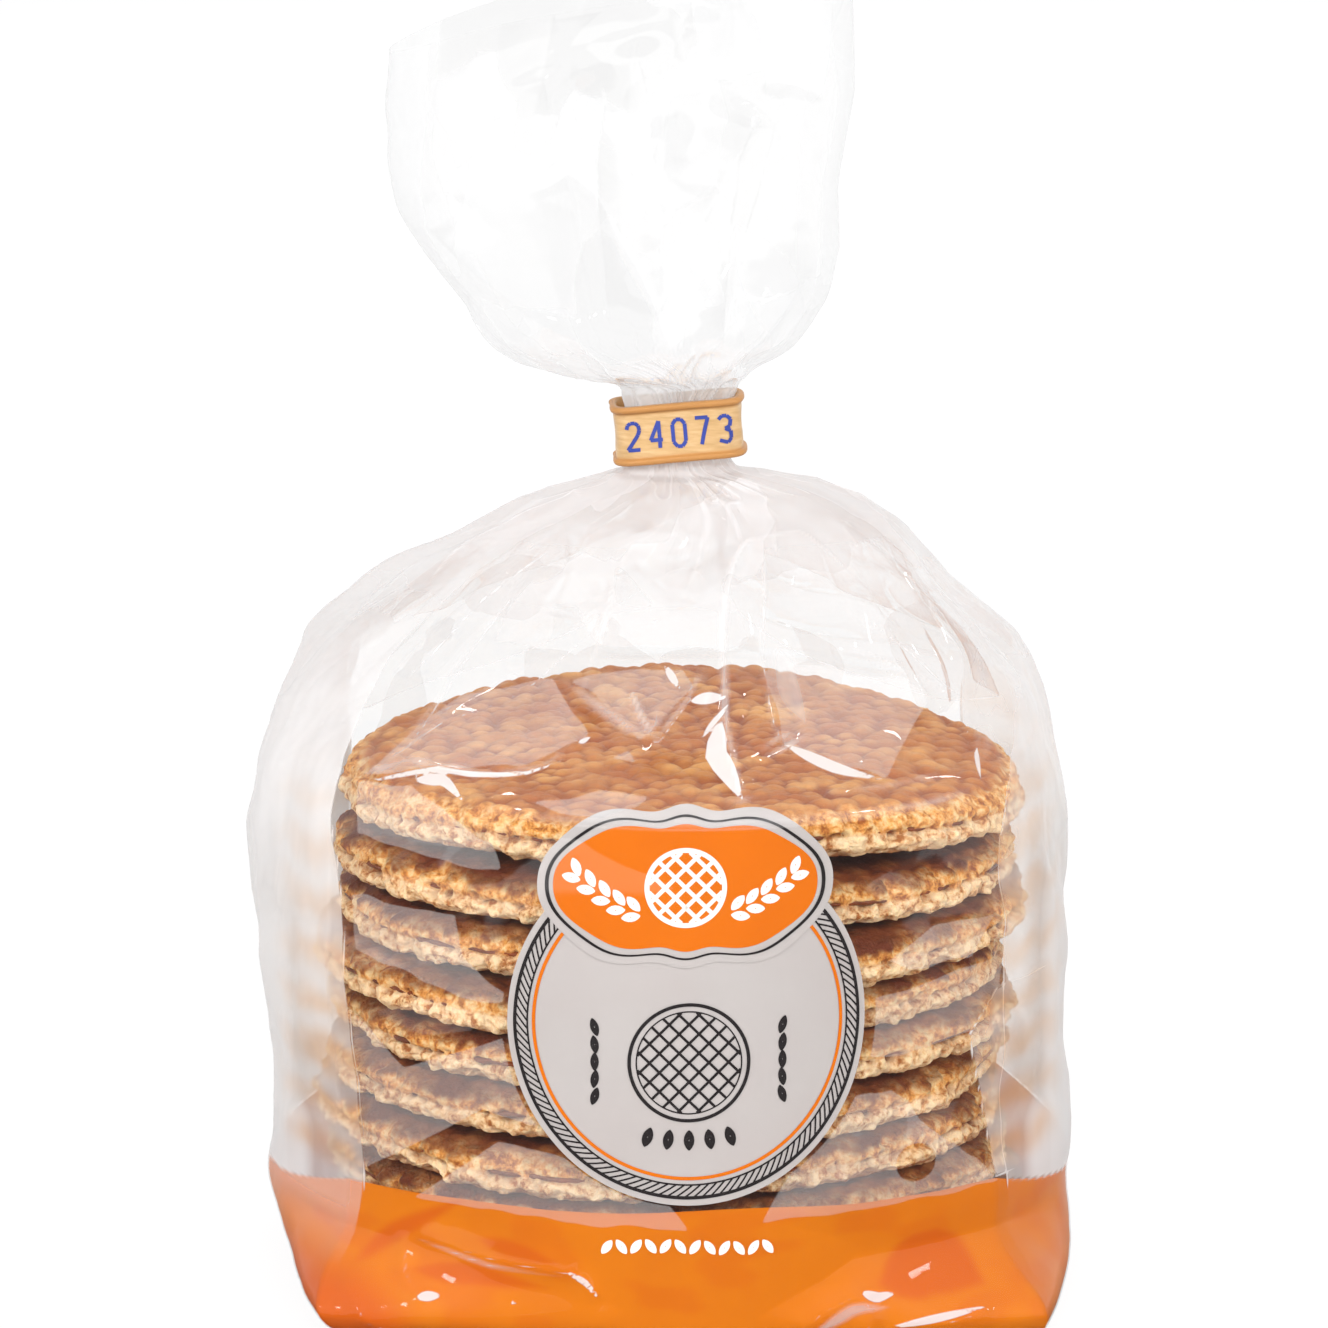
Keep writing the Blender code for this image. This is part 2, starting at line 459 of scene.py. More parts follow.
class PrintSettings(bpy.types.PropertyGroup):
    label_radius: FloatProperty(
        name="Label radius", description="Round label", default=0.0259, unit="LENGTH"
    )
    label_height: FloatProperty(
        name="Label height", description="Label's middle", default=0.0483, unit="LENGTH"
    )
    label_shift: FloatProperty(
        name="Label shift", description="To the right", default=0.0035, unit="LENGTH"
    )
    plaque_width: FloatProperty(
        name="Plaque width", description="Across the plaque", default=0.0405, unit="LENGTH"
    )
    plaque_tall: FloatProperty(
        name="Plaque height", description="Up the plaque", default=0.0222, unit="LENGTH"
    )
    rope_bars: IntProperty(name="Rope bars", description="Slanted bars in the border", default=126, min=8)
    orange: FloatVectorProperty(
        name="Orange", description="Orange ink", size=4, subtype="COLOR", default=linear("#D27200")
    )
    plaque_orange: FloatVectorProperty(
        name="Label orange", description="Plaque's ink", size=4, subtype="COLOR", default=linear("#DA6F00")
    )
    grey: FloatVectorProperty(
        name="Label grey", description="Label's ground", size=4, subtype="COLOR", default=linear("#BCB6B4")
    )
    ink: FloatVectorProperty(
        name="Dark ink", description="Lines and bars", size=4, subtype="COLOR", default=linear("#241F20")
    )


class StripSettings(bpy.types.PropertyGroup):
    paper: FloatVectorProperty(
        name="Paper", description="Strip's face", size=4, subtype="COLOR", default=linear("#C8A373")
    )
    bead: FloatVectorProperty(
        name="Bead", description="Strip's edges", size=4, subtype="COLOR", default=linear("#B68148")
    )
    stamp: FloatVectorProperty(
        name="Stamp", description="Stamped digits", size=4, subtype="COLOR", default=linear("#3F50A0")
    )


class StageSettings(bpy.types.PropertyGroup):
    distance: FloatProperty(name="Distance", description="Camera to bag", default=0.92, unit="LENGTH")
    height: FloatProperty(name="Height", description="Camera above the floor", default=0.299, unit="LENGTH")
    aim: FloatProperty(name="Aim", description="Height the camera looks at", default=0.088, unit="LENGTH")
    lens: FloatProperty(name="Lens", description="Focal length in millimetres", default=176.9)


# ---------------------------------------------------------------- wafers


def wafer_material(settings):
    """Batter pressed in a waffle iron and cut round while hot: a matt, browned crust, a golden upper edge and
    a paler, torn crumb below it. Shade is painted on it as well: on the upper rims of all but the top wafer,
    under the wafer above, in the valleys between the face's pads and the crumb's crevices, and in chips and
    where the seam gapes."""
    material, tree, output = new_material("baked_waffle_batter")
    place = add_node(tree, "ShaderNodeTexCoord").outputs["Object"]

    # Browning varies over 11 mm patches, and again over 1.6 mm grains of batter.
    patch = add_node(tree, "ShaderNodeTexNoise", {"Vector": place, "Scale": 1.0 / 0.011, "Detail": 5.0})
    inputs = {"Vector": place, "Scale": 1.0 / 0.0016, "Detail": 5.0, "Roughness": 0.65}
    grain = add_node(tree, "ShaderNodeTexNoise", inputs)
    pale, brown = linear("#DAA060"), linear("#B36930")
    crust = add_node(
        tree,
        "ShaderNodeValToRGB",
        {"Fac": patch.outputs["Fac"]},
        stops=[(0.36, brown), (0.5, tuple(settings.crust)), (0.66, pale)],
    )
    gold = add_node(
        tree,
        "ShaderNodeValToRGB",
        {"Fac": grain.outputs["Fac"]},
        stops=[(0.34, linear("#A9602A")), (0.48, tuple(settings.golden)), (0.62, linear("#F8D59C"))],
    )
    torn = add_node(
        tree,
        "ShaderNodeValToRGB",
        {"Fac": grain.outputs["Fac"]},
        stops=[(0.36, linear("#BC7A42")), (0.45, linear("#EEC08C")), (0.56, tuple(settings.crumb))],
    )
    stops = [(0.36, linear("#DECDB9")), (0.52, WHITE)]
    speck = add_node(tree, "ShaderNodeValToRGB", {"Fac": grain.outputs["Fac"]}, stops=stops)
    # The last three layers are painted shade: darker valleys between the face's pads and crevices in the
    # crumb, darker upper rims on all but the top wafer, and dark chips and gaping seam.
    layers = (
        ("golden", gold.outputs["Color"], "MIX"),
        ("crumb", torn.outputs["Color"], "MIX"),
        ("rim", speck.outputs["Color"], "MULTIPLY"),
        ("groove", linear("#9A5020"), "MIX"),
        ("painted_rim_shade", linear("#6A3119"), "MIX"),
        ("pit", linear("#763A1A"), "MIX"),
    )
    base = crust.outputs["Color"]
    masks = {}
    for name, colour, kind in layers:
        masks[name] = add_node(tree, "ShaderNodeAttribute", attribute_name=name).outputs["Fac"]
        inputs = {"Factor": masks[name], "A": base, "B": colour}
        base = add_node(tree, "ShaderNodeMix", inputs, data_type="RGBA", blend_type=kind).outputs["Result"]
    fine = add_node(tree, "ShaderNodeTexNoise", {"Vector": place, "Scale": 1.0 / 0.0007, "Detail": 3.0})
    names = ("Value", "From Min", "From Max", "To Min", "To Max")
    crumbly = add_node(tree, "ShaderNodeMapRange", dict(zip(names, (masks["rim"], 0.2, 0.65, 0.35, 1.0))))
    inputs = {"Height": fine.outputs["Fac"], "Strength": crumbly.outputs["Result"], "Distance": 0.0006}
    bump = add_node(tree, "ShaderNodeBump", inputs)
    shader = add_node(
        tree,
        "ShaderNodeBsdfPrincipled",
        {
            "Base Color": base,
            "Roughness": 0.6,
            "Specular IOR Level": 0.3,
            "Subsurface Weight": 0.1,
            "Subsurface Radius": (0.0018, 0.0009, 0.0004),
            "Subsurface Scale": 1.0,
            "Normal": bump.outputs["Normal"],
        },
    )
    tree.links.new(shader.outputs["BSDF"], output.inputs["Surface"])
    return material


def caramel_material(settings):
    """Boiled sugar syrup, spread warm and set: smooth, dark amber and glossy."""
    material, tree, output = new_material("set_caramel_syrup")
    place = add_node(tree, "ShaderNodeTexCoord").outputs["Object"]
    # Streaks about 4 mm long, where the knife has drawn the syrup out.
    streak = add_node(tree, "ShaderNodeTexNoise", {"Vector": place, "Scale": 1.0 / 0.004, "Detail": 3.0})
    colour = add_node(
        tree,
        "ShaderNodeValToRGB",
        {"Fac": streak.outputs["Fac"]},
        stops=[(0.35, linear("#5E2A10")), (0.65, tuple(settings.caramel))],
    )
    inputs = {"Height": streak.outputs["Fac"], "Strength": 0.3, "Distance": 0.0008}
    bump = add_node(tree, "ShaderNodeBump", inputs)
    inputs = {"Base Color": colour.outputs["Color"], "Roughness": 0.22, "IOR": 1.48}
    inputs["Normal"] = bump.outputs["Normal"]
    shader = add_node(tree, "ShaderNodeBsdfPrincipled", inputs)
    tree.links.new(shader.outputs["BSDF"], output.inputs["Surface"])
    return material


def wafer_place(level, settings):
    """Where one wafer lies: its radius, its middle, the height of its seam, its lean and its waves'
    phases. The top one lies furthest right; the others spread wider."""
    rng = np.random.default_rng(40 + level)
    top = level == len(WAFER_FLOORS) - 1
    radius = 0.5 * settings.diameter / MM + (0.0 if top else rng.uniform(0.0, 0.6))
    centre_x = settings.shift / MM if top else 1.2 + rng.uniform(-2.2, 2.2)
    centre_y = 0.5 + rng.uniform(-0.3, 0.3)
    height = WAFER_FLOORS[level] + 0.5 * settings.thickness / MM
    lean_x = rng.uniform(-0.006, 0.006) * ease(level, 0, 2)
    lean_y = rng.uniform(-0.003, 0.003) * ease(level, 0, 2)
    return radius, (centre_x, centre_y, height), (lean_x, lean_y), rng.uniform(0.0, TAU, 4)


def wafer_wave(level, turn, phases):
    """How far a wafer's rim rises and falls: three slow waves round it, weaker low in the stack. The
    upper wafers sag at their right and left ends."""
    waves = 0.3 * np.sin(2.0 * turn + phases[0]) + 0.28 * np.sin(3.0 * turn + phases[1])
    waves = waves + 0.2 * np.sin(5.0 * turn + phases[2])
    right = np.interp(level, (4, 6, 7, 8, 9), (0.0, 0.8, 1.4, 2.2, 2.4)) * ease(np.cos(turn), 0.15, 1.0)
    left = np.interp(level, (6, 9), (0.0, 1.4)) * ease(-np.cos(turn), 0.5, 1.0)
    return waves * (0.25 + 0.75 * ease(level, 0, 4)) - right - left


def ring_points(turn, level, lift=0.0):
    """Places round a rim that feed the noise, one loop of them for each wafer."""
    across, mottle_and_fold_shade = np.broadcast_arrays(50.0 * np.cos(turn), 50.0 * np.sin(turn))
    return np.stack([across, mottle_and_fold_shade, np.full_like(across, 23.0 * level + lift)], axis=-1)


def seam_opening(turn, level):
    """How far the seam between a wafer's halves gapes, from 0 to 1, round the rim."""
    return ease(soft_noise(ring_points(turn, level, 7.0), 4.5, 60 + level), 0.08, 0.6)


def rim_rows(count):
    """The rim's profile at even steps along it: distance in from the outline and height above the seam."""
    steps = np.hypot(*np.diff(RIM_PROFILE, axis=0).T)
    along = np.concatenate([[0.0], np.cumsum(steps)])
    places = np.linspace(0.0, along[-1], count)
    return np.interp(places, along, RIM_PROFILE[:, 0]), np.interp(places, along, RIM_PROFILE[:, 1])


def add_wafer(level, settings, material):
    """One wafer as a surface of turn and path. The path runs from the top's middle over the cut rim's
    profile to the bottom's middle. Iron marks lift pads on the faces, and torn crumb, pits and a gaping
    seam roughen the rim."""
    top = level == len(WAFER_FLOORS) - 1
    columns = 640 if top else 720
    radius, (centre_x, centre_y, height), lean, phases = wafer_place(level, settings)
    face_edge = RIM_PROFILE[0, 0]
    rim_in, rim_height = rim_rows(44)
    face_share = np.linspace(0.012 if top else 0.7, 1.0, 98 if top else 6, endpoint=False)
    under_share = np.linspace(1.0, 0.7, 6)[1:]
    turn = np.linspace(0.0, TAU, columns, endpoint=False)[None, :]
    ring = ring_points(turn, level)
    outline = radius + 0.3 * np.sin(2.0 * turn + phases[3]) + 0.25 * np.sin(5.0 * turn + phases[1])
    outline = outline - 0.5 + 0.4 * layered_noise(ring, 9.0, 7 + level, 2)

    rim_reach = outline - rim_in[:, None]
    top_reach = face_share[:, None] * (outline - face_edge)
    under_reach = under_share[:, None] * rim_reach[-1:]
    reach = np.concatenate([top_reach, rim_reach, under_reach])
    under_low = np.full(len(under_share), -RIM_HALF)
    low = np.concatenate([np.full(len(face_share), RIM_HALF), rim_height, under_low])
    low = low[:, None] + np.zeros_like(turn)
    inset = outline - reach
    scale = 0.5 * settings.thickness / MM / RIM_HALF
    flat = np.stack([reach * np.cos(turn), reach * np.sin(turn), low + 23.0 * level], axis=-1)

    # Faces: uneven pads between the iron's worn ribs, with larger swells across them.
    pads = cell_noise(flat * np.array([1.0, 1.0, 0.1]), settings.dimple / MM, 90 + level)
    dome = 1.0 - (pads / 0.75) ** 2
    swell = layered_noise(flat, 6.5, 130 + level, 3)
    on_face = ease(inset, 0.9, 3.4)
    upper = on_face * (low > 0.0)
    lift = (0.95 if top else 0.5) * dome + 0.26 * swell
    # Rim: the two halves wander apart from each other; crumbs stand out of both, most from the lower.
    on_rim = 1.0 - on_face
    below = ease(-low, -0.15, 0.35)
    wander = layered_noise(ring_points(turn, level, 3.0), 5.5, 210 + level, 3)
    wander_low = layered_noise(ring_points(turn, level, 11.0), 4.2, 250 + level, 3)
    crumbs = layered_noise(flat, 1.7, 290 + level, 2, 0.7)
    lumps = cell_noise(flat * np.array([1.0, 1.0, 1.2]), 2.5, 310 + level)
    chips = ease(0.36 - cell_noise(flat * np.array([1.0, 1.0, 1.7]), 2.7, 330 + level), 0.0, 0.2)
    opening = seam_opening(turn, level)
    groove = np.exp(-(((low - 0.22 * wander) / 0.3) ** 2)) * opening
    near_seam = np.exp(-(((low + 0.1) / 0.75) ** 2))
    torn = np.exp(-(((low + 3.0) / 0.8) ** 2)) * ease(wander_low, -0.1, 0.7)
    out = 0.5 * wander * (1.0 - below) + 0.62 * wander_low * below
    out = out + (0.42 + 0.14 * below) * crumbs + (0.3 + 0.3 * below) * (0.5 - lumps)
    out = out - 1.1 * chips * near_seam - 1.0 * groove - 1.1 * torn
    reach = reach + on_rim * out
    level_z = scale * low + np.where(low > 0.0, 1.0, -0.5) * on_face * lift + on_rim * 0.3 * crumbs
    ragged = 0.5 * wander_low + 0.6 * (0.5 - lumps) + 0.3 * crumbs - 0.25
    level_z = level_z - ragged * ease(-low, 1.0, 2.6) * on_rim

    x = reach * np.cos(turn)
    y = reach * np.sin(turn)
    droop = ease(reach, 0.4 * radius, radius)
    z = height + level_z + droop * wafer_wave(level, turn, phases) + lean[0] * x + lean[1] * y
    points = np.stack([x + centre_x, y + centre_y, np.maximum(z, 0.35)], axis=-1)
    rows = len(points)
    ends = np.array([points[0].mean(axis=0), points[-1].mean(axis=0)])
    size = rows * columns
    faces = [
        grid_faces(rows, columns)[:, ::-1],
        fan_faces(size, 0, columns, turned=False),
        fan_faces(size + 1, size - columns, columns, turned=True),
    ]
    # Painted shade: darker in the valleys between the face's pads and in the crevices among the rim's crumbs.
    between = ease(pads, 0.38, 0.7) * (0.9 - 0.5 * swell)
    painted_groove_shade = 0.3 * on_rim * (0.4 + 0.6 * below) * ease(lumps - 0.3 * crumbs, 0.55, 0.9)
    painted_groove_shade = 0.85 * on_face * between + painted_groove_shade
    golden = on_rim * (1.0 - below) + 0.35 * ease(inset, 4.0, 1.5) * upper
    # Painted shade in the chips, the hollows among the crumbs and where the seam gapes.
    painted_pit_shade = near_seam * np.clip(0.9 * chips + 0.9 * groove + 0.35 * ease(-crumbs, 0.2, 0.7), 0.0, 1.0)
    # Painted shade: the upper rim of every wafer but the top one is darkened where the wafer above would
    # shade it.
    painted_rim_shade = 0.0 * x if top else ease(low + 0.7 * wander + 0.6 * crumbs, 0.8, 2.2) * (0.8 + 0.35 * swell)
    values = {"golden": golden, "groove": painted_groove_shade, "pit": on_rim * painted_pit_shade, "painted_rim_shade": painted_rim_shade}
    values["crumb"] = on_rim * below * np.ones_like(x)
    values["rim"] = 0.2 + 0.45 * on_rim
    values = {key: np.append(np.clip(data, 0.0, 1.0).ravel(), [0.0, 0.0]) for key, data in values.items()}
    all_points = np.concatenate([points.reshape(-1, 3), ends])
    return build_mesh(f"wafer_{level + 1:02d}", all_points, faces, material, values)


class WAFERS_OT_stack(bpy.types.Operator):
    """Adds the stack of baked wafers"""

    bl_idname = "wafers.stack"
    bl_label = "Wafer Stack"

    def execute(self, context):
        settings = context.scene.wafer_settings
        material = wafer_material(settings)
        for level in range(len(WAFER_FLOORS)):
            settle(add_wafer(level, settings, material), "bag")
        return {"FINISHED"}


class WAFERS_OT_caramel(bpy.types.Operator):
    """Adds the syrup that fills each wafer's seam and shows where the seam gapes"""

    bl_idname = "wafers.caramel"
    bl_label = "Caramel"

    def execute(self, context):
        settings = context.scene.wafer_settings
        material = caramel_material(settings)
        columns, sides = 500, 10
        turn = np.linspace(0.0, TAU, columns, endpoint=False)[None, :]
        around = np.linspace(0.0, TAU, sides + 1)[:, None]
        points, faces = [], []
        for level in range(len(WAFER_FLOORS)):
            radius, (centre_x, centre_y, height), lean, phases = wafer_place(level, settings)
            bulge = layered_noise(ring_points(turn, level, 5.0), 6.0, 400 + level, 3)
            reach = radius - 2.6 + 0.6 * seam_opening(turn, level) + 0.5 * bulge + 1.1 * np.cos(around)
            x = reach * np.cos(turn)
            y = reach * np.sin(turn)
            z = height + 0.05 + 0.5 * np.sin(around)
            z = z + wafer_wave(level, turn, phases) + lean[0] * x + lean[1] * y
            points.append(np.stack([x + centre_x, y + centre_y, z], axis=-1)[:-1].reshape(-1, 3))
            first = level * sides * columns
            grid = grid_faces(sides + 1, columns)
            faces.append(np.where(grid >= sides * columns, grid - sides * columns, grid)[:, ::-1] + first)
        piece = build_mesh("caramel_layers", np.concatenate(points), faces, material)
        settle(piece, "bag")
        return {"FINISHED"}


# ---------------------------------------------------------------- film


def section_path():
    """The bag's sections measured along the film, from the base's edge up to the mouth."""
    steps = np.hypot(np.diff(BAG_SECTIONS[:, 0]), np.diff(BAG_SECTIONS[:, 2]))
    return np.concatenate([[0.0], np.cumsum(steps)])


SECTION_PATH = section_path()
SECTION_SLOPE = np.gradient(BAG_SECTIONS, SECTION_PATH, axis=0)


def sections_at(path):
    """The section table at any place along the film, by cubic curves through its rows."""
    row = np.clip(np.searchsorted(SECTION_PATH, path, side="right") - 1, 0, len(SECTION_PATH) - 2)
    span = SECTION_PATH[row + 1] - SECTION_PATH[row]
    t = ((path - SECTION_PATH[row]) / span)[..., None]
    span = span[..., None]
    return (
        (2 * t**3 - 3 * t**2 + 1) * BAG_SECTIONS[row]
        + (t**3 - 2 * t**2 + t) * span * SECTION_SLOPE[row]
        + (3 * t**2 - 2 * t**3) * BAG_SECTIONS[row + 1]
        + (t**3 - t**2) * span * SECTION_SLOPE[row + 1]
    )


PATH_SAMPLES = np.linspace(0.0, SECTION_PATH[-1], 4000)
HEIGHT_SAMPLES = sections_at(PATH_SAMPLES)[:, 0]


def path_of_height(height):
    return np.interp(height, HEIGHT_SAMPLES, PATH_SAMPLES)


def smooth_film(around, path):
    """The film without its folds. around counts panels from the front's left crease: 0 to 1 is the front,
    then the right side, the back and the left side. Each panel bows out between its creases by a
    parabola. Gives the place, and the outward direction level with the floor."""
    rows = sections_at(path)
    height, left, right, half_depth = (rows[..., k] for k in range(4))
    centre = 0.5 * (left + right)
    half_width = 0.5 * (right - left)
    square = ease(-height, -14.0, -2.0)  # the block bottom's corners are squarer
    crease_x = (CREASE_ACROSS + 0.12 * square) * half_width
    crease_y = (CREASE_DEEP + 0.2 * square) * half_depth
    panel = np.floor(around).astype(int) % 4
    along = 2.0 * (around - np.floor(around)) - 1.0
    bow = 1.0 - along**2
    front_x, front_y = along * crease_x, -crease_y - (half_depth - crease_y) * bow
    side_x, side_y = crease_x + (half_width - crease_x) * bow, along * crease_y
    x = np.choose(panel, [front_x, side_x, -front_x, -side_x])
    y = np.choose(panel, [front_y, side_y, -front_y, -side_y])
    reach = np.hypot(x, y) + 1e-6
    return np.stack([x + centre, y, height], axis=-1), x / reach, y / reach


def ridged(turn, path, count, length, seed):
    """Sharp crests that run up the film, about count of them round it and each about length long, from -1
    to 1."""
    size = count / 5.0
    places = np.stack([size * np.cos(turn), size * np.sin(turn), path / length], axis=-1)
    return 1.0 - 3.0 * np.abs(soft_noise(places, 1.0, seed))


def facets(points, seed):
    """Flat facets that meet at straight creases: triangle waves in several directions, bent by smooth
    noise."""
    rng = np.random.default_rng(seed)
    total = np.zeros(points.shape[:-1])
    for wavelength in (34.0, 23.0, 15.0, 10.0):
        for _ in range(2):
            direction = rng.normal(size=3)
            direction /= np.linalg.norm(direction)
            bend = 0.3 * soft_noise(points, 24.0, int(rng.integers(1000)))
            along = points @ direction / wavelength + bend + rng.uniform()
            total += wavelength / 20.0 * triangle_wave(along)
    return total


def fold_heights(x, z, folds):
    """Sum of named folds: each stands to its height along its crest, falls straight away over its reach,
    and fades at its two ends."""
    total = np.zeros(x.shape)
    for line, height, reach in folds:
        distance, progress = line_distance(x, z, line)
        fade = ease(progress, -0.01, 0.12) * ease(-progress, -1.01, -0.88)
        total += height * fade * np.clip(1.0 - distance / reach, 0.0, 1.0) ** 1.4
    return total


def printed_area(points):
    """1 on the part of the front that the label covers, and 0 off it."""
    front = ease(-points[..., 1], 0.0, 20.0)
    return front * ease(-np.hypot(points[..., 0] - 3.5, 0.85 * (points[..., 2] - 50.0)), -31.0, -25.0)


def foot_edge(around):
    """Height of the orange foot's upper edge: level on the front and back, lower in the middle of the
    sides."""
    along = 2.0 * (around - np.floor(around)) - 1.0
    on_side = np.floor(around).astype(int) % 2 == 1
    wave = 0.35 * np.sin(3.1 * along + 0.6) + 0.2 * np.sin(8.0 * along)
    return 20.6 + (np.where(on_side, -5.4, 0.7) + wave) * (1.0 - along**2)


def film_offset(points, turn, path, settings):
    """How far the folded film stands outside its smooth form, in millimetres."""
    height = points[..., 2]
    pleat = settings.pleat / MM
    shoulder = ease(height, 80.0, 98.0) * ease(-height, -118.0, -112.0)
    neck = ease(height, 104.0, 115.0) * ease(-height, -137.0, -131.0)
    mouth = ease(height, 130.0, 148.0)
    total = pleat * shoulder * ridged(turn, path, 11, 48.0, 11)
    patchy = ease(soft_noise(points, 11.0, 16), -0.25, 0.4)
    total += 0.3 * pleat * patchy * shoulder * ease(height, 94.0, 109.0) * ridged(turn, path, 15, 24.0, 12)
    total += 0.3 * pleat * (0.3 + 0.7 * patchy) * neck * (ridged(turn, path, 24, 9.0, 13) - 1.0)
    total += 0.6 * pleat * mouth * ridged(turn, path, 7, 90.0, 14)
    throat = ease(height, 129.0, 135.0) * (1.0 - 0.8 * mouth)
    total += 0.3 * pleat * throat * ridged(turn, path, 18, 40.0, 15)
    slack = 0.2 + 0.3 * ease(height, 18.0, 26.0) + 0.25 * ease(height, 74.0, 88.0) - 0.5 * mouth
    slack = slack * (1.0 - ease(height, 108.0, 116.0) * ease(-height, -142.0, -NECK_HIGH))
    slack = slack * ease(height, 0.0, 5.0)
    # The printed label lies flat on the stack.
    slack = slack * (1.0 - 0.85 * printed_area(points))
    total += settings.facet / MM * slack * facets(points, 5)
    front = ease(-points[..., 1], -2.0, 4.0)
    x, z = points[..., 0], height
    total += front * fold_heights(x, z, SHOULDER_FOLDS)
    total += front * fold_heights(x, z, MOUTH_FOLDS)
    total += front * fold_heights(x, z, FOOT_FOLDS)
    # On the other sides the same kinds of folds lie mirrored and turned.
    total += (1.0 - front) * fold_heights(-x, z, SHOULDER_FOLDS)
    total += (1.0 - front) * fold_heights(-x, z, MOUTH_FOLDS)
    total += (1.0 - front) * fold_heights(-x, z, FOOT_FOLDS)
    return total


def film_point(around, path, settings):
    """The film itself: its smooth form moved out by its folds, kept clear of the stack and of the strip."""
    points, out_x, out_y = smooth_film(around, path)
    height = points[..., 2]
    turn = np.arctan2(out_y, out_x)
    offset = film_offset(points, turn, path, settings)
    tilt = np.radians(np.interp(height, *OUTWARD_TILT.T))
    x = points[..., 0] + offset * out_x * np.cos(tilt)
    y = points[..., 1] + offset * out_y * np.cos(tilt)
    z = height + offset * np.sin(tilt)
    rise = np.clip((height - NECK_HIGH) / (BAG_TOP - NECK_HIGH), 0.0, 1.0)
    z = z - rise**2 * RIM_DROP * (x - RIM_PEAK) ** 2
    stack_x = 1.6
    reach = np.hypot(0.965 * (x - stack_x), y)
    lack = np.clip(51.7 - reach, 0.0, None) * ease(-z, -80.0, -76.5)
    x = x + lack * (x - stack_x) / reach
    y = y + lack * y / reach
    return np.stack([x, y, np.maximum(z, 0.0)], axis=-1)


def surface_normals(points):
    """Outward directions of a grid of points that closes round its rows, by the cross product of its
    slopes."""
    around = np.roll(points, -1, axis=1) - np.roll(points, 1, axis=1)
    up = np.gradient(points, axis=0)
    normal = np.cross(around, up)
    return normal / (np.linalg.norm(normal, axis=-1, keepdims=True) + 1e-12)


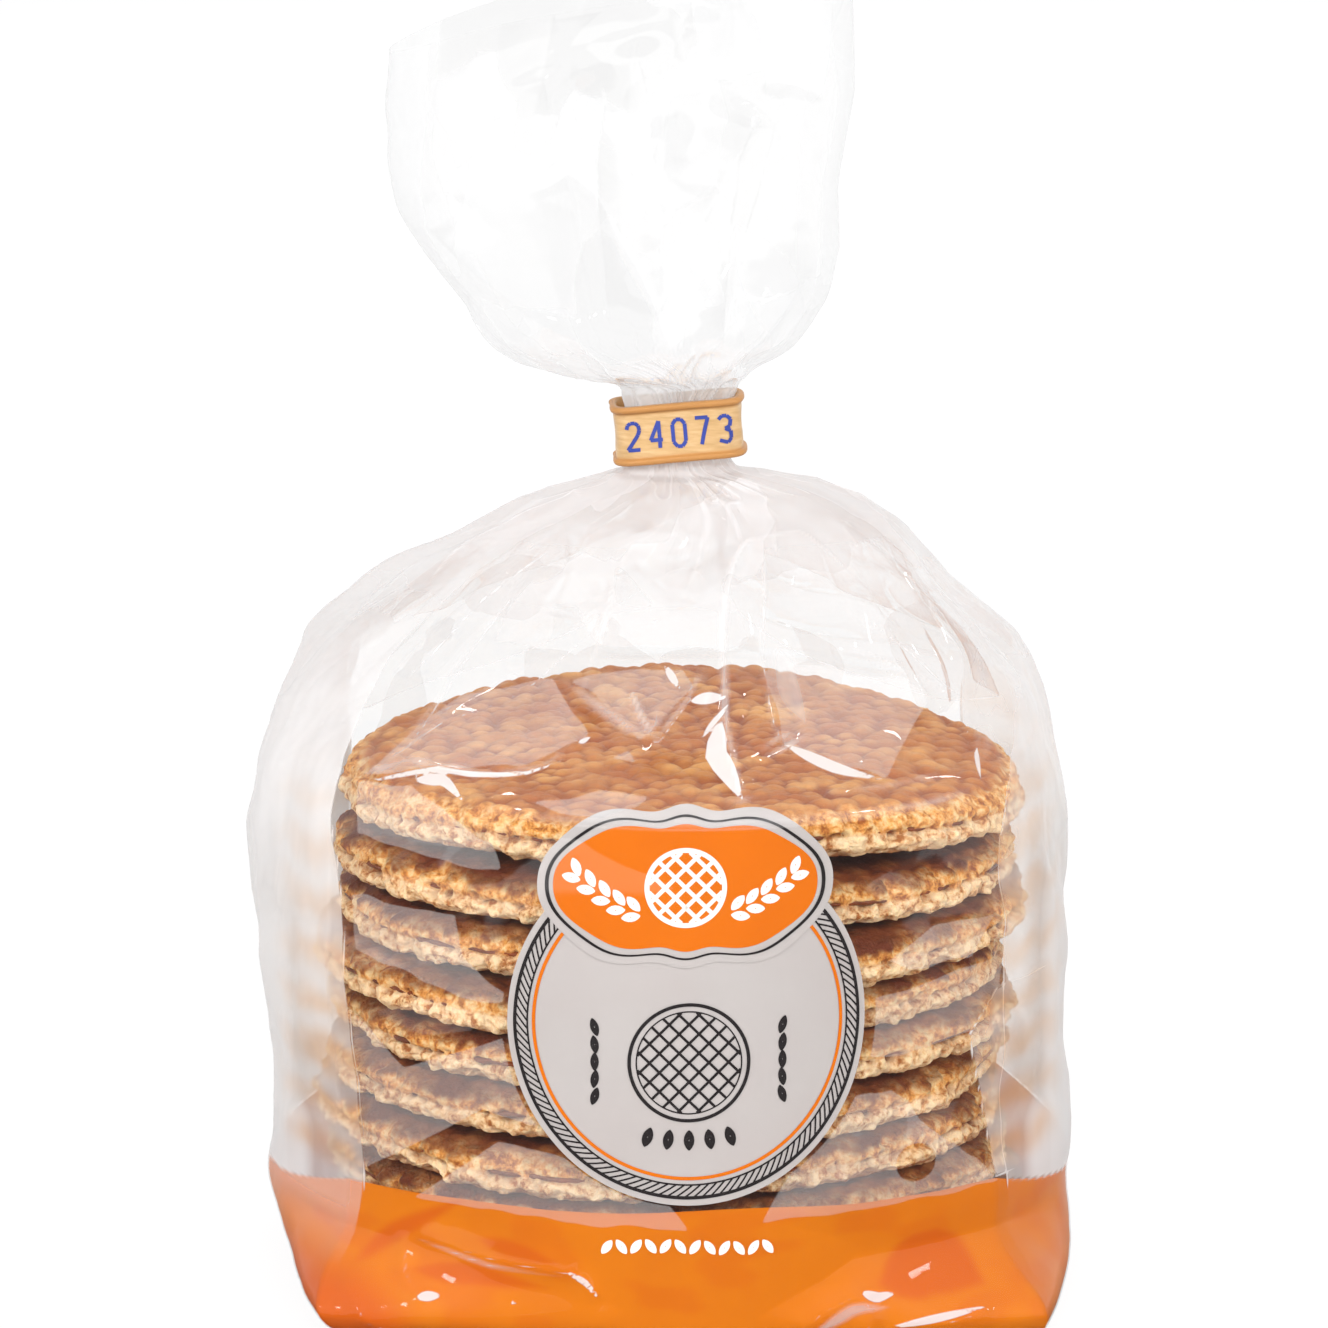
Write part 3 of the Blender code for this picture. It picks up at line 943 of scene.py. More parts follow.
def film_material(settings):
    """Biaxially oriented polypropylene film, 30 micrometres thick: clear and mirror smooth, so it is seen by
    what it reflects. White is painted on it too: painted reflections on its flat facets, painted highlights
    along its creases and folds, and the gussets' white, partly haze and partly painted reflection."""
    material, tree, output = new_material("clear_polypropylene_film")

    masks = {}
    for name in ("painted_reflection", "glint", "glow", "crest", "lap", "milk_and_sheen", "haze", "warm", "inked"):
        masks[name] = add_node(tree, "ShaderNodeAttribute", attribute_name=name).outputs["Fac"]
    facing = add_node(tree, "ShaderNodeLayerWeight", {"Blend": 0.5}).outputs["Facing"]
    # Each row turns a reading into a share, smoothly, between two readings. Most readings are in millimetres,
    # so their edges are drawn a tenth or two wide. A gusset's white, partly haze and partly painted
    # reflection, shows most at a slanting view, and ink on the inner face leaves the film only its outer face
    # to reflect with.
    rows = (
        ("painted_reflection", masks["painted_reflection"], 0.0, 0.22, 0.0, settings.painted_reflection),
        ("glint", masks["glint"], -0.05, 0.16, 0.0, 0.74),
        ("glow", masks["glow"], -0.2, 1.5, 0.0, 0.34),
        ("crest", masks["crest"], 0.04, 0.3, 0.72, 0.0),
        ("lap", masks["lap"], 0.0, 0.3, 0.0, settings.milk_and_sheen),
        ("slant", facing, 0.05, 0.4, 0.4, 1.0),
        ("bare", masks["inked"], 0.0, 1.0, 1.0, 0.35),
    )
    names = ("Value", "From Min", "From Max", "To Min", "To Max")
    shares = {}
    for name, *values in rows:
        inputs = dict(zip(names, values))
        node = add_node(tree, "ShaderNodeMapRange", inputs, interpolation_type="SMOOTHSTEP")
        shares[name] = node.outputs["Result"]
    # Reflection of a thin sheet's two faces: 7% straight on, rising to all of it at a grazing view.
    steep = add_node(tree, "ShaderNodeMath", {0: facing, 1: 4.2}, operation="POWER").outputs[0]
    inputs = {0: steep, 1: 0.9, 2: 0.065}
    mirror = add_node(tree, "ShaderNodeMath", inputs, operation="MULTIPLY_ADD", use_clamp=True).outputs[0]
    inputs = {0: mirror, 1: shares["bare"]}
    mirror = add_node(tree, "ShaderNodeMath", inputs, operation="MULTIPLY").outputs[0]
    clear = add_node(tree, "ShaderNodeBsdfTransparent", {"Color": (0.99, 0.989, 0.988, 1.0)})
    gloss = add_node(tree, "ShaderNodeBsdfAnisotropic", {"Color": WHITE, "Roughness": 0.04})
    sheet = add_node(tree, "ShaderNodeMixShader", {0: mirror, 1: clear.outputs[0], 2: gloss.outputs[0]})
    # Painted light: the white turns towards the wafers' colour where warm is high, as if they showed through
    # the haze.
    inputs = {"Factor": masks["warm"], "A": linear("#E9EAEC"), "B": linear("#E2BE9C")}
    pale = add_node(tree, "ShaderNodeMix", inputs, data_type="RGBA").outputs["Result"]
    white = add_node(tree, "ShaderNodeBsdfDiffuse", {"Color": pale})
    inputs = {"Factor": masks["warm"], "A": linear("#F2F4F7"), "B": linear("#F0D7BE")}
    pale = add_node(tree, "ShaderNodeMix", inputs, data_type="RGBA").outputs["Result"]
    through = add_node(tree, "ShaderNodeBsdfTranslucent", {"Color": pale})
    milk_and_sheen = add_node(tree, "ShaderNodeMixShader", {0: 0.25, 1: white.outputs[0], 2: through.outputs[0]})
    lap = shares["lap"]
    for other in (masks["milk_and_sheen"], shares["slant"]):
        lap = add_node(tree, "ShaderNodeMath", {0: lap, 1: other}, operation="MULTIPLY").outputs[0]
    # The painted reflections and highlights, the gussets' white and the haze decide how much of this white
    # shows.
    shown = shares["painted_reflection"]
    for other in (lap, shares["glint"], shares["glow"], shares["crest"]):
        shown = add_node(tree, "ShaderNodeMath", {0: shown, 1: other}, operation="MAXIMUM").outputs[0]
    haze = add_node(tree, "ShaderNodeMath", {0: shown, 1: masks["haze"]}, operation="ADD", use_clamp=True)
    inputs = {0: haze.outputs[0], 1: sheet.outputs[0], 2: milk_and_sheen.outputs[0]}
    film = add_node(tree, "ShaderNodeMixShader", inputs)
    tree.links.new(film.outputs[0], output.inputs["Surface"])
    return material


def film_marks(points, normals, around):
    """The film's masks. veil, glint, glow and lap are depths in millimetres inside their outlines, and crest
    is the distance from a crease line. milk and haze are shares of white, warm is the share of the wafers'
    colour in that white, and inked is 1 over the printed foot. veil, glint, glow and crest draw painted
    reflections and highlights, milk is the gussets' white, partly haze and partly painted reflection, and
    warm is painted light from the wafers."""
    x, z = points[..., 0], points[..., 2]
    front = points[..., 1] < 0.0
    wavy = 0.55 * soft_noise(points, 4.5, 71)
    far = np.full(x.shape, -5.0)
    painted_reflection, glint, glow = far, far, far
    near_z = (z > 18.0) & (z < 96.0)
    for outline in PAINTED_REFLECTIONS:
        painted_reflection = np.maximum(painted_reflection, np.where(near_z, outline_depth(x + wavy, z + wavy, outline), -5.0))
    spot = np.hypot(x - 35.4, z - 25.8) - 2.7
    painted_reflection = np.minimum(painted_reflection, spot)
    # Ink shows through the film with no painted reflection over it: the label's round and its plaque.
    plaque = 12.0 * np.hypot((x - 3.0) / 20.5, (z - 68.2) / 11.5) - 12.0
    painted_reflection = np.minimum(painted_reflection, np.minimum(np.hypot(x - 3.5, z - 48.3) - 25.9, plaque))
    for line, half_width in GLINTS:
        depth = outline_depth(x, z, streak(line, half_width))
        glint = np.maximum(glint, np.where(z < 96.0, depth, -5.0))
    for line, half_width in GLOWS:
        depth = outline_depth(x, z, streak(line, half_width))
        glow = np.maximum(glow, np.where(front & (z < 97.0), depth, -5.0))
    # On the other panels the painted reflections follow a pattern of facets.
    other = 4.0 * (facets(points * np.array([1.0, 1.0, 0.8]), 9) / 3.0 - 0.1)
    other = np.minimum(other, z - 21.0)
    painted_reflection = np.where(front & (z < 98.0), painted_reflection, other)
    glint = np.where(front, glint, -5.0)

    panel = np.floor(around).astype(int) % 4
    along = np.abs(2.0 * (around - np.floor(around)) - 1.0)
    corner = (1.0 - along) * np.where(panel % 2, 33.0, 46.0)
    held = ease(z, 12.0, 20.0) * ease(-z, -90.0, -76.0)
    # The gussets' white, partly milky film and partly painted reflection, starts inside the left front corner
    # and beyond the right one.
    shift = np.interp(z, (0, 14, 28, 44, 62, 74), (1.6, 1.9, 2.9, 3.0, 2.0, 0.2))
    shift = np.where(x < 0.0, shift, -np.interp(z, (30, 70, 76, 82), (2.2, 2.3, 5.0, 9.0))) * front
    edge = np.where(panel % 2, corner, -corner) + shift
    # Painted highlight: a thin white line down each panel crease, where the gussets' white begins.
    crest = np.abs(edge) + 2.0 * (1.0 - held)
    lap = edge
    lap_front = np.where(front & (x > 0.0), outline_depth(x, z, GUSSET_LAP), -5.0)
    lap = np.maximum(lap, lap_front)
    # Painted sheens on the front of the foot: paler streaks that stand for reflections, drawn in the gussets'
    # white.
    sheen = far
    for line, half_width in FOOT_SHEENS:
        depth = outline_depth(x, z, streak(line, half_width))
        sheen = np.maximum(sheen, np.where(front & (z < 20.0), depth, -5.0))
    lap = np.maximum(lap, 0.3 * sheen)
    crest = np.minimum(crest, np.where(lap_front > -1.5, np.abs(lap_front) + 2.0 * (1.0 - held), 5.0))
    # Painted highlights along the crests of the shoulder's and foot's folds, thinner towards their ends.
    for line, _, _ in SHOULDER_FOLDS:
        distance, progress = line_distance(x, z, line)
        thin = 0.16 * ease(np.abs(progress - 0.5), 0.25, 0.5)
        crest = np.minimum(crest, np.where(front, distance + 0.1 + thin, 5.0))
    for line, _, _ in FOOT_FOLDS:
        distance, progress = line_distance(x, z, line)
        thin = 0.2 * ease(np.abs(progress - 0.5), 0.2, 0.5)
        crest = np.minimum(crest, np.where(front, distance + 0.12 + thin, 5.0))

    # The gussets' white: partly the haze of several layers of film, partly painted reflection of the studio
    # at their slanting view.
    heights = (0.0, 3.4, 4.4, 20.0, 24.0, 50.0, 75.0, 88.0, 100.0)
    left_milk_and_sheen = np.interp(z, heights, (0.0, 0.0, 0.5, 0.52, 0.52, 0.62, 0.82, 0.7, 0.2))
    right_milk_and_sheen = np.interp(z, heights, (0.0, 0.0, 0.02, 0.42, 0.42, 0.37, 0.36, 0.32, 0.12))
    streaks = layered_noise(points * np.array([1.0, 1.0, 0.3]), 8.0, 77, 3)
    milk_and_sheen = np.where(x < 0.0, left_milk_and_sheen, right_milk_and_sheen) * (1.0 + 0.22 * streaks)
    outer = ease(np.abs(x - 0.6), 51.0, 55.5) * ease(-z, -76.0, -50.0)
    low_side = ease(np.abs(x - 0.6), 48.0, 53.0) * ease(-z, -34.0, -26.0)
    milk_and_sheen = np.maximum(milk_and_sheen, np.maximum(0.84 * outer, 0.8 * low_side))
    # Over the printed foot the left gusset is only a little milky, and the right one is clear.
    over_foot = ease(foot_edge(around) - z, -0.2, 0.2)
    printed = np.where(x < 0.0, np.interp(z, (9.0, 13.0, 17.0), (0.0, 0.14, 0.3)), 0.02)
    milk_and_sheen = milk_and_sheen * (1.0 - over_foot) + printed * over_foot
    milk_and_sheen = np.where(sheen > -0.5, 0.85, milk_and_sheen)

    # Painted light: the haze beside the wafers is tinted with their colour in level bands, as if their rims
    # showed through it, weaker towards the bag's outer edge.
    band = 0.62 + 0.38 * np.cos(TAU * (z - 1.5) / 7.4 + 1.6 * layered_noise(points, 7.0, 87, 2))
    near = ease(z, 20.0, 26.0) * ease(-z, -84.0, -72.0) * ease(-np.abs(x - 1.0), -58.0, -50.5)
    near = near * ease(np.abs(x - 1.0), 42.0, 45.0)
    near = near * np.where(x < 0.0, np.interp(z, (22.0, 42.0, 60.0, 78.0), (1.0, 0.9, 0.5, 0.25)), 0.95)
    warm = near * band * (1.0 - over_foot)

    bend = np.zeros(x.shape)
    for axis in (0, 1):
        turn = np.linalg.norm(np.gradient(normals, axis=axis), axis=-1)
        bend = np.maximum(bend, turn / (np.linalg.norm(np.gradient(points, axis=axis), axis=-1) + 1e-6))
    neck = ease(z, 97.0, 114.0) * ease(-z, -134.0, -127.0)
    calm = (1.0 - 0.8 * ease(z, 128.0, 140.0)) * (1.0 - 0.55 * ease(z, 97.0, 110.0))
    haze = 0.012 + 0.34 * calm * ease(bend, 0.16, 0.8) * ease(z, 16.0, 22.0) + 0.34 * neck
    marks = {"painted_reflection": painted_reflection, "glint": glint, "glow": glow, "crest": crest, "lap": lap}
    return {**marks, "milk_and_sheen": milk_and_sheen, "haze": haze, "warm": warm, "inked": over_foot}


def add_film_sheet(name, low, high, rows, settings, material):
    """A band of film between two places along its path, as a grid that closes round the bag. Its normals
    are worked out with a row more at each end, so that neighbouring bands shade as one."""
    columns = settings.columns
    step = (high - low) / (rows - 1)
    around = np.linspace(0.0, 4.0, columns, endpoint=False)[None, :] + np.zeros((rows + 2, 1))
    path = np.linspace(low - step, high + step, rows + 2)[:, None] + np.zeros((1, columns))
    points = film_point(around, np.clip(path, 0.0, SECTION_PATH[-1]), settings)
    normals = surface_normals(points)
    marks = {key: data[1:-1] for key, data in film_marks(points, normals, around).items()}
    points, normals = points[1:-1], normals[1:-1]
    faces = [grid_faces(rows, columns)]
    piece = build_mesh(name, points.reshape(-1, 3), faces, material, marks, normals)
    settle(piece, "bag")
    return piece


def add_film_tuck(material):
    """The gussets folded in under the shoulders: a cone inside the film, from the neck down to an edge that
    arches over the stack, lowest at the two sides."""
    rows, columns = 70, 420
    around = np.linspace(0.0, 4.0, columns, endpoint=False)[None, :] + np.zeros((rows, 1))
    _, out_x, out_y = smooth_film(around, np.full((rows, columns), path_of_height(95.0)))
    turn = np.arctan2(out_y, out_x)
    arch = 104.5 - 19.0 * np.abs(out_x) ** 1.6 + 1.4 * np.sin(3.0 * turn + 0.6) + 0.8 * np.sin(7.0 * turn)
    share = np.linspace(0.0, 1.0, rows)[:, None]
    path = path_of_height(arch) * (1.0 - share) + path_of_height(119.0) * share
    points, out_x, out_y = smooth_film(around, path)
    inward = 0.86 + 0.03 * ridged(turn, path, 16, 20.0, 51) + 0.02 * ridged(turn, path, 34, 12.0, 52)
    centre = 0.5 * (sections_at(path)[..., 1] + sections_at(path)[..., 2])
    x = centre + (points[..., 0] - centre) * inward
    y = points[..., 1] * inward
    points = np.stack([x, y, points[..., 2]], axis=-1)
    normals = surface_normals(points)
    away = np.full(x.shape, -5.0)
    haze = 0.02 + 0.1 * ease(points[..., 2], 104.0, 116.0)
    edge = 0.12 + 30.0 * share + np.zeros_like(x)
    none = np.zeros_like(x)
    marks = {"painted_reflection": away, "glint": away, "glow": away, "crest": edge, "lap": away}
    marks.update({"milk_and_sheen": none, "haze": haze, "warm": none, "inked": none})
    faces = [grid_faces(rows, columns)]
    piece = build_mesh("film_tuck", points.reshape(-1, 3), faces, material, marks, normals)
    settle(piece, "bag")


class WAFERS_OT_film(bpy.types.Operator):
    """Adds the clear film: body, shoulders and neck, the flared mouth, and the gussets tucked inside"""

    bl_idname = "wafers.film"
    bl_label = "Clear Film"

    def execute(self, context):
        settings = context.scene.film_settings
        material = film_material(settings)
        shoulder = path_of_height(SHOULDER_START)
        neck = path_of_height(0.5 * (NECK_LOW + NECK_HIGH))
        mouth = SECTION_PATH[-1]
        add_film_sheet("film_body", 0.0, shoulder, settings.body_rows, settings, material)
        add_film_sheet("film_shoulder", shoulder, neck, settings.shoulder_rows, settings, material)
        add_film_sheet("film_mouth", neck, mouth, settings.mouth_rows, settings, material)
        add_film_tuck(material)
        return {"FINISHED"}


# ---------------------------------------------------------------- print


def ink_material(name, colour, mottle, backlit=False):
    """Gravure ink on the inside of the film: an even, satin field that takes the cylinder's slight
    mottle, over patches of 12 mm where more or less light comes through it. A backlit ink lets through
    the share of light that its thin attribute gives."""
    material, tree, output = new_material(name)
    place = add_node(tree, "ShaderNodeTexCoord").outputs["Object"]
    cloud = add_node(tree, "ShaderNodeTexNoise", {"Vector": place, "Scale": 1.0 / 0.012, "Detail": 3.0})
    darker = tuple(value * (1.0 - mottle * share) for value, share in zip(colour[:3], (0.5, 1.0, 1.0)))
    stops = [(0.34, (*darker, 1.0)), (0.62, tuple(colour))]
    shade = add_node(tree, "ShaderNodeValToRGB", {"Fac": cloud.outputs["Fac"]}, stops=stops)
    # Painted shade: the ink turns towards a deep red-brown where the attribute read here is high, in the
    # foot's folds and dents.
    mottle_and_fold_shade = add_node(tree, "ShaderNodeAttribute", attribute_name="mottle_and_fold_shade").outputs["Fac"]
    dark = tuple(value * share for value, share in zip(colour[:3], (0.86, 0.5, 0.3)))
    inputs = {"Factor": mottle_and_fold_shade, "A": shade.outputs["Color"], "B": (*dark, 1.0)}
    tone = add_node(tree, "ShaderNodeMix", inputs, data_type="RGBA").outputs["Result"]
    inputs = {"Base Color": tone, "Roughness": 0.5, "Specular IOR Level": 0.1}
    solid = add_node(tree, "ShaderNodeBsdfPrincipled", inputs)
    if not backlit:
        tree.links.new(solid.outputs[0], output.inputs["Surface"])
        return material
    lit = add_node(tree, "ShaderNodeBsdfTranslucent", {"Color": tone})
    thin = add_node(tree, "ShaderNodeAttribute", attribute_name="thin").outputs["Fac"]
    ink = add_node(tree, "ShaderNodeMixShader", {0: thin, 1: solid.outputs[0], 2: lit.outputs[0]})
    tree.links.new(ink.outputs[0], output.inputs["Surface"])
    return material


def drape(across, up, film, gap):
    """Lays flat print on the front panel: across is measured along the film from the bag's middle, up is
    the height. It follows the film a small gap inside it."""
    path = path_of_height(up)
    rows = sections_at(path)
    bend = 57.0  # radius of the front panel's bow
    crease_x = CREASE_ACROSS * 0.5 * (rows[..., 2] - rows[..., 1])
    x = bend * np.sin(across / bend) - 0.5 * (rows[..., 1] + rows[..., 2])
    around = 0.5 * (x / crease_x + 1.0)
    points = film_point(around, path, film)
    side = film_point(around + 0.004, path, film) - points
    rise = film_point(around, path + 0.3, film) - points
    normal = np.cross(side, rise)
    return points - gap * normal / np.linalg.norm(normal, axis=-1, keepdims=True)


def lay_print(name, x, z, gap, film, material, wrap):
    """One mesh of patches laid on the front panel. x and z hold a grid for each patch, in rows and
    columns; wrap joins each grid's last column to its first."""
    points = drape(x, z, film, gap)
    count, rows, columns = x.shape
    grid = grid_faces(rows, columns, wrap)
    a, b, c, _ = points.reshape(-1, 3)[grid[len(grid) // 2]]
    if np.cross(b - a, c - a)[1] > 0.0:
        grid = grid[:, ::-1]
    faces = (grid[None] + np.arange(count)[:, None, None] * rows * columns).reshape(-1, 4)
    settle(build_mesh(name, points.reshape(-1, 3), [faces], material), "bag")


def ring_patch(outline, inner, outer, rings, columns, middle):
    """A flat ring between two shares of an outline, which is given by its radius at each turn."""
    turn = np.linspace(0.0, TAU, columns, endpoint=False)[None, None, :]
    share = np.linspace(inner, outer, rings)[None, :, None]
    radius = share * outline(turn)
    return middle[0] + radius * np.cos(turn), middle[1] + radius * np.sin(turn)


def strokes(starts, ends, half_width, steps):
    """Straight strokes between pairs of flat points, as a narrow grid each."""
    starts, ends = np.asarray(starts, float), np.asarray(ends, float)
    share = np.linspace(0.0, 1.0, steps)[None, :, None]
    line = starts[:, None, :] * (1.0 - share) + ends[:, None, :] * share
    lead = ends - starts
    lead /= np.linalg.norm(lead, axis=1, keepdims=True)
    side = np.stack([-lead[:, 1], lead[:, 0]], axis=1)[:, None, None, :]
    side = side * np.array([-half_width, half_width])[:, None]
    grid = line[:, :, None, :] + side
    return grid[..., 0], grid[..., 1]


def lattice(radius, pitch, middle):
    """Ends of the crossing lines of a waffle iron's square pattern, turned by 45 degrees and cut by a
    circle."""
    offsets = np.arange(-math.floor(radius / pitch), math.floor(radius / pitch) + 1) * pitch
    half = np.sqrt(radius**2 - offsets**2)
    along = np.array([1.0, 1.0]) / math.sqrt(2.0)
    across = np.array([-1.0, 1.0]) / math.sqrt(2.0)
    first = offsets[:, None] * across - half[:, None] * along
    second = offsets[:, None] * across + half[:, None] * along
    turned = np.array([-1.0, 1.0])
    starts = np.concatenate([first, first[:, ::-1] * turned]) + middle
    ends = np.concatenate([second, second[:, ::-1] * turned]) + middle
    return starts, ends


def grains(places, angles, half_length, half_width):
    """Pointed grains like those of an ear of wheat: ellipses drawn to a point at both ends."""
    turn = np.linspace(0.0, TAU, 16, endpoint=False)[None, None, :]
    share = np.linspace(0.08, 1.0, 3)[None, :, None]
    along = share * half_length * np.cos(turn)
    across = share * half_width * np.sin(turn) * np.abs(np.sin(turn)) ** 0.5
    cosine, sine = np.cos(angles)[:, None, None], np.sin(angles)[:, None, None]
    x = places[:, 0, None, None] + along * cosine - across * sine
    z = places[:, 1, None, None] + along * sine + across * cosine
    return x, z


def wheat_ears(middle, reach, count):
    """Places and angles of the grains of two ears that bow out to the left and the right of a middle."""
    step = np.arange(count)
    x = reach + 2.05 * step
    z = -3.2 + 0.9 * step**1.25
    lean = 0.35 + 0.09 * step
    sides = []
    for mirror in (1.0, -1.0):
        for edge in (1.0, -1.0):
            angle = lean + 0.5 * edge
            place_x = mirror * (x + 0.55 * edge * -np.sin(lean))
            place_z = z + 1.0 * edge * np.cos(lean)
            sides.append(np.column_stack([place_x, place_z, angle if mirror > 0 else math.pi - angle]))
    ears = np.concatenate(sides)
    return ears[:, :2] + middle, ears[:, 2]


class WAFERS_OT_foot(bpy.types.Operator):
    """Adds the orange printed foot, which covers the base and the lowest part of the sides"""

    bl_idname = "wafers.foot"
    bl_label = "Orange Foot"

    def execute(self, context):
        film = context.scene.film_settings
        settings = context.scene.print_settings
        rows, base_rows, columns = 74, 26, film.columns
        around = np.linspace(0.0, 4.0, columns, endpoint=False)[None, :] + np.zeros((rows, 1))
        share = np.linspace(0.0, 1.0, rows)[:, None]
        side = film_point(around, share * path_of_height(foot_edge(around)), film)
        side = side - 0.2 * surface_normals(side)
        side[..., 2] = np.maximum(side[..., 2], 0.12)
        # The base: the lowest ring shrunk towards its middle, and raised a little there as paper-thin
        # film is.
        shrink = np.linspace(0.0, 1.0, base_rows, endpoint=False)[1:, None, None]
        centre = np.array([0.0, 0.0, 0.3])
        base = centre * (1.0 - shrink) + side[:1] * shrink
        points = np.concatenate([base, side]).reshape(-1, 3)
        total = len(base) + rows
        faces = [grid_faces(total, columns), fan_faces(total * columns, 0, columns, turned=True)]
        x, z = points[:, 0], points[:, 2]
        front = points[:, 1] < 0.0
        # A faint random mottle of deeper ink, and painted shade in the foot's folds and dents and at its
        # lower left corner.
        mottle_and_fold_shade = 0.25 * ease(layered_noise(points * np.array([1.0, 1.0, 2.0]), 9.0, 81, 2), 0.1, 0.6)
        for line, half_width in FOOT_SHADES:
            inside = ease(outline_depth(x, z, streak(line, half_width)), -0.6, 0.9)
            mottle_and_fold_shade = np.maximum(mottle_and_fold_shade, 0.75 * inside * front)
        corner = 0.85 * ease(1.0 - np.hypot((x + 48.0) / 17.0, z / 12.0), 0.0, 0.5)
        mottle_and_fold_shade = np.clip(np.maximum(mottle_and_fold_shade, corner), 0.0, 1.0)
        material = ink_material("orange_gravure_ink", settings.orange, 0.08, backlit=True)
        all_points = np.concatenate([points, centre[None]])
        thin = 0.06 + 0.4 * ease(points[:, 1], -6.0, 8.0)
        marks = {"mottle_and_fold_shade": np.append(mottle_and_fold_shade, 0.0), "thin": np.append(thin, 0.5)}
        piece = build_mesh("foot_print", all_points, faces, material, marks)
        settle(piece, "bag")
        # A row of small white grains where the foot would say what is in the bag.
        white = ink_material("white_gravure_ink", linear("#F4EEE8"), 0.05)
        place_x = np.linspace(-8.0, 14.6, 12)
        places = np.column_stack([place_x, 16.3 + 0.25 * np.cos(place_x / 4.0)])
        x, z = grains(places, np.where(np.arange(12) % 2, 2.2, 0.95), 1.25, 0.62)
        lay_print("foot_grains", x, z, 0.1, film, white, wrap=True)
        return {"FINISHED"}


class WAFERS_OT_label(bpy.types.Operator):
    """Adds the round label: its ground, rope border, rings, waffle drawing, and the plaque across its
    top"""

    bl_idname = "wafers.label"
    bl_label = "Round Label"

    def execute(self, context):
        film = context.scene.film_settings
        settings = context.scene.print_settings
        radius = settings.label_radius / MM
        middle = np.array([settings.label_shift, settings.label_height]) / MM
        grey = ink_material("pale_grey_ink", settings.grey, 0.03)
        dark = ink_material("black_line_ink", settings.ink, 0.1)
        orange = ink_material("orange_label_ink", settings.plaque_orange, 0.06)

        def circle(turn):
            return 1.0 + 0.0 * turn

        def lay(name, patch, gap, material, wrap=True):
            lay_print(name, *patch, gap, film, material, wrap)

        lay("label_ground", ring_patch(circle, 0.002, radius, 56, 300, middle), 0.34, grey)
        lay("label_rope_outer", ring_patch(circle, 24.5, 25.0, 3, 360, middle), 0.27, dark)
        lay("label_rope_inner", ring_patch(circle, 22.75, 23.0, 3, 360, middle), 0.27, dark)
        lay("label_thin_ring", ring_patch(circle, 21.7, 22.2, 3, 360, middle), 0.27, orange)
        # Rope: slanted bars between the two dark outlines.
        place = np.arange(settings.rope_bars)[:, None, None] * TAU / settings.rope_bars
        share = np.linspace(0.0, 1.0, 5)[None, :, None]
        bar_radius = 22.95 + 1.6 * share
        edge = np.array([-0.2, 0.2])[None, None, :]
        turn = place - 0.085 * (share - 0.5) + edge / bar_radius
        bars = middle[0] + bar_radius * np.cos(turn), middle[1] + bar_radius * np.sin(turn)
        lay("label_rope_bars", bars, 0.27, dark, wrap=False)

        # A waffle drawn in line, with a row of grains under it.
        waffle = middle + np.array([0.0, -5.2])
        lay("label_waffle_rim", ring_patch(circle, 8.1, 8.6, 3, 160, waffle), 0.27, dark)
        lay("label_waffle_inner_rim", ring_patch(circle, 7.25, 7.45, 3, 160, waffle), 0.27, dark)
        lay("label_waffle_lattice", strokes(*lattice(7.3, 1.95, waffle), 0.19, 26), 0.27, dark, wrap=False)
        row = np.arange(-2, 3)
        places = np.column_stack([middle[0] + 2.9 * row, middle[1] - 16.4 + 0.12 * row**2])
        lay("label_grain_row", grains(places, 0.5 * math.pi + 0.16 * row, 1.5, 0.75), 0.27, dark)
        for side in (-1.0, 1.0):
            arm = middle + np.array([side * 13.2, -5.2])
            places = np.column_stack([np.full(5, arm[0]), arm[1] + np.linspace(-5.0, 5.0, 5)])
            leaves = grains(places, 0.5 * math.pi - side * np.linspace(-0.6, 0.6, 5) * 0.5, 1.35, 0.6)
            lay(f"label_leaves_{'left' if side < 0.0 else 'right'}", leaves, 0.27, dark)

        # Plaque: a soft oblong with eight shallow lobes, in four layers from its pale margin to its
        # orange field.
        half_width, half_tall = 0.5 * settings.plaque_width / MM, 0.5 * settings.plaque_tall / MM
        plaque = np.array([settings.label_shift / MM - 0.5, 68.2])

        def oblong(inset):
            def outline(turn):
                wide = np.abs(np.cos(turn)) / (half_width - inset)
                tall = np.abs(np.sin(turn)) / (half_tall - inset)
                lobes = 1.0 + 0.035 * np.cos(8.0 * turn)
                return lobes * (wide**2.7 + tall**2.7) ** (-1.0 / 2.7)

            return outline

        lay("plaque_margin", ring_patch(oblong(0.0), 0.002, 1.0, 48, 300, plaque), 0.2, grey)
        line = oblong(1.15)
        lay("plaque_line", ring_patch(line, 0.972, 1.0, 3, 300, plaque), 0.13, dark)
        lay("plaque_field", ring_patch(oblong(2.3), 0.002, 1.0, 44, 300, plaque), 0.13, orange)
        white = ink_material("white_gravure_ink", linear("#F4EEE8"), 0.05)
        lay("plaque_waffle_rim", ring_patch(circle, 5.0, 5.7, 4, 120, plaque), 0.07, white)
        lay("plaque_waffle_lattice", strokes(*lattice(5.1, 2.0, plaque), 0.3, 20), 0.07, white, wrap=False)
        ears = wheat_ears(plaque, 7.4, 5)
        lay("plaque_wheat", grains(*ears, 1.35, 0.7), 0.07, white)
        return {"FINISHED"}


# ---------------------------------------------------------------- strip


STRIP_CENTRE = 0.5 * (np.array(STRIP_LOW) + np.array(STRIP_HIGH)) / MM + (0.0, 0.0, 0.7)
STRIP_HALF_WIDTH = 9.2
STRIP_HALF_DEPTH = 5.0
STRIP_SQUARENESS = 3.2  # exponent of the loop's superellipse
STRIP_HALF_HEIGHT = 4.3
STRIP_WALL = 0.5
STRIP_TILT = math.radians(5.0)
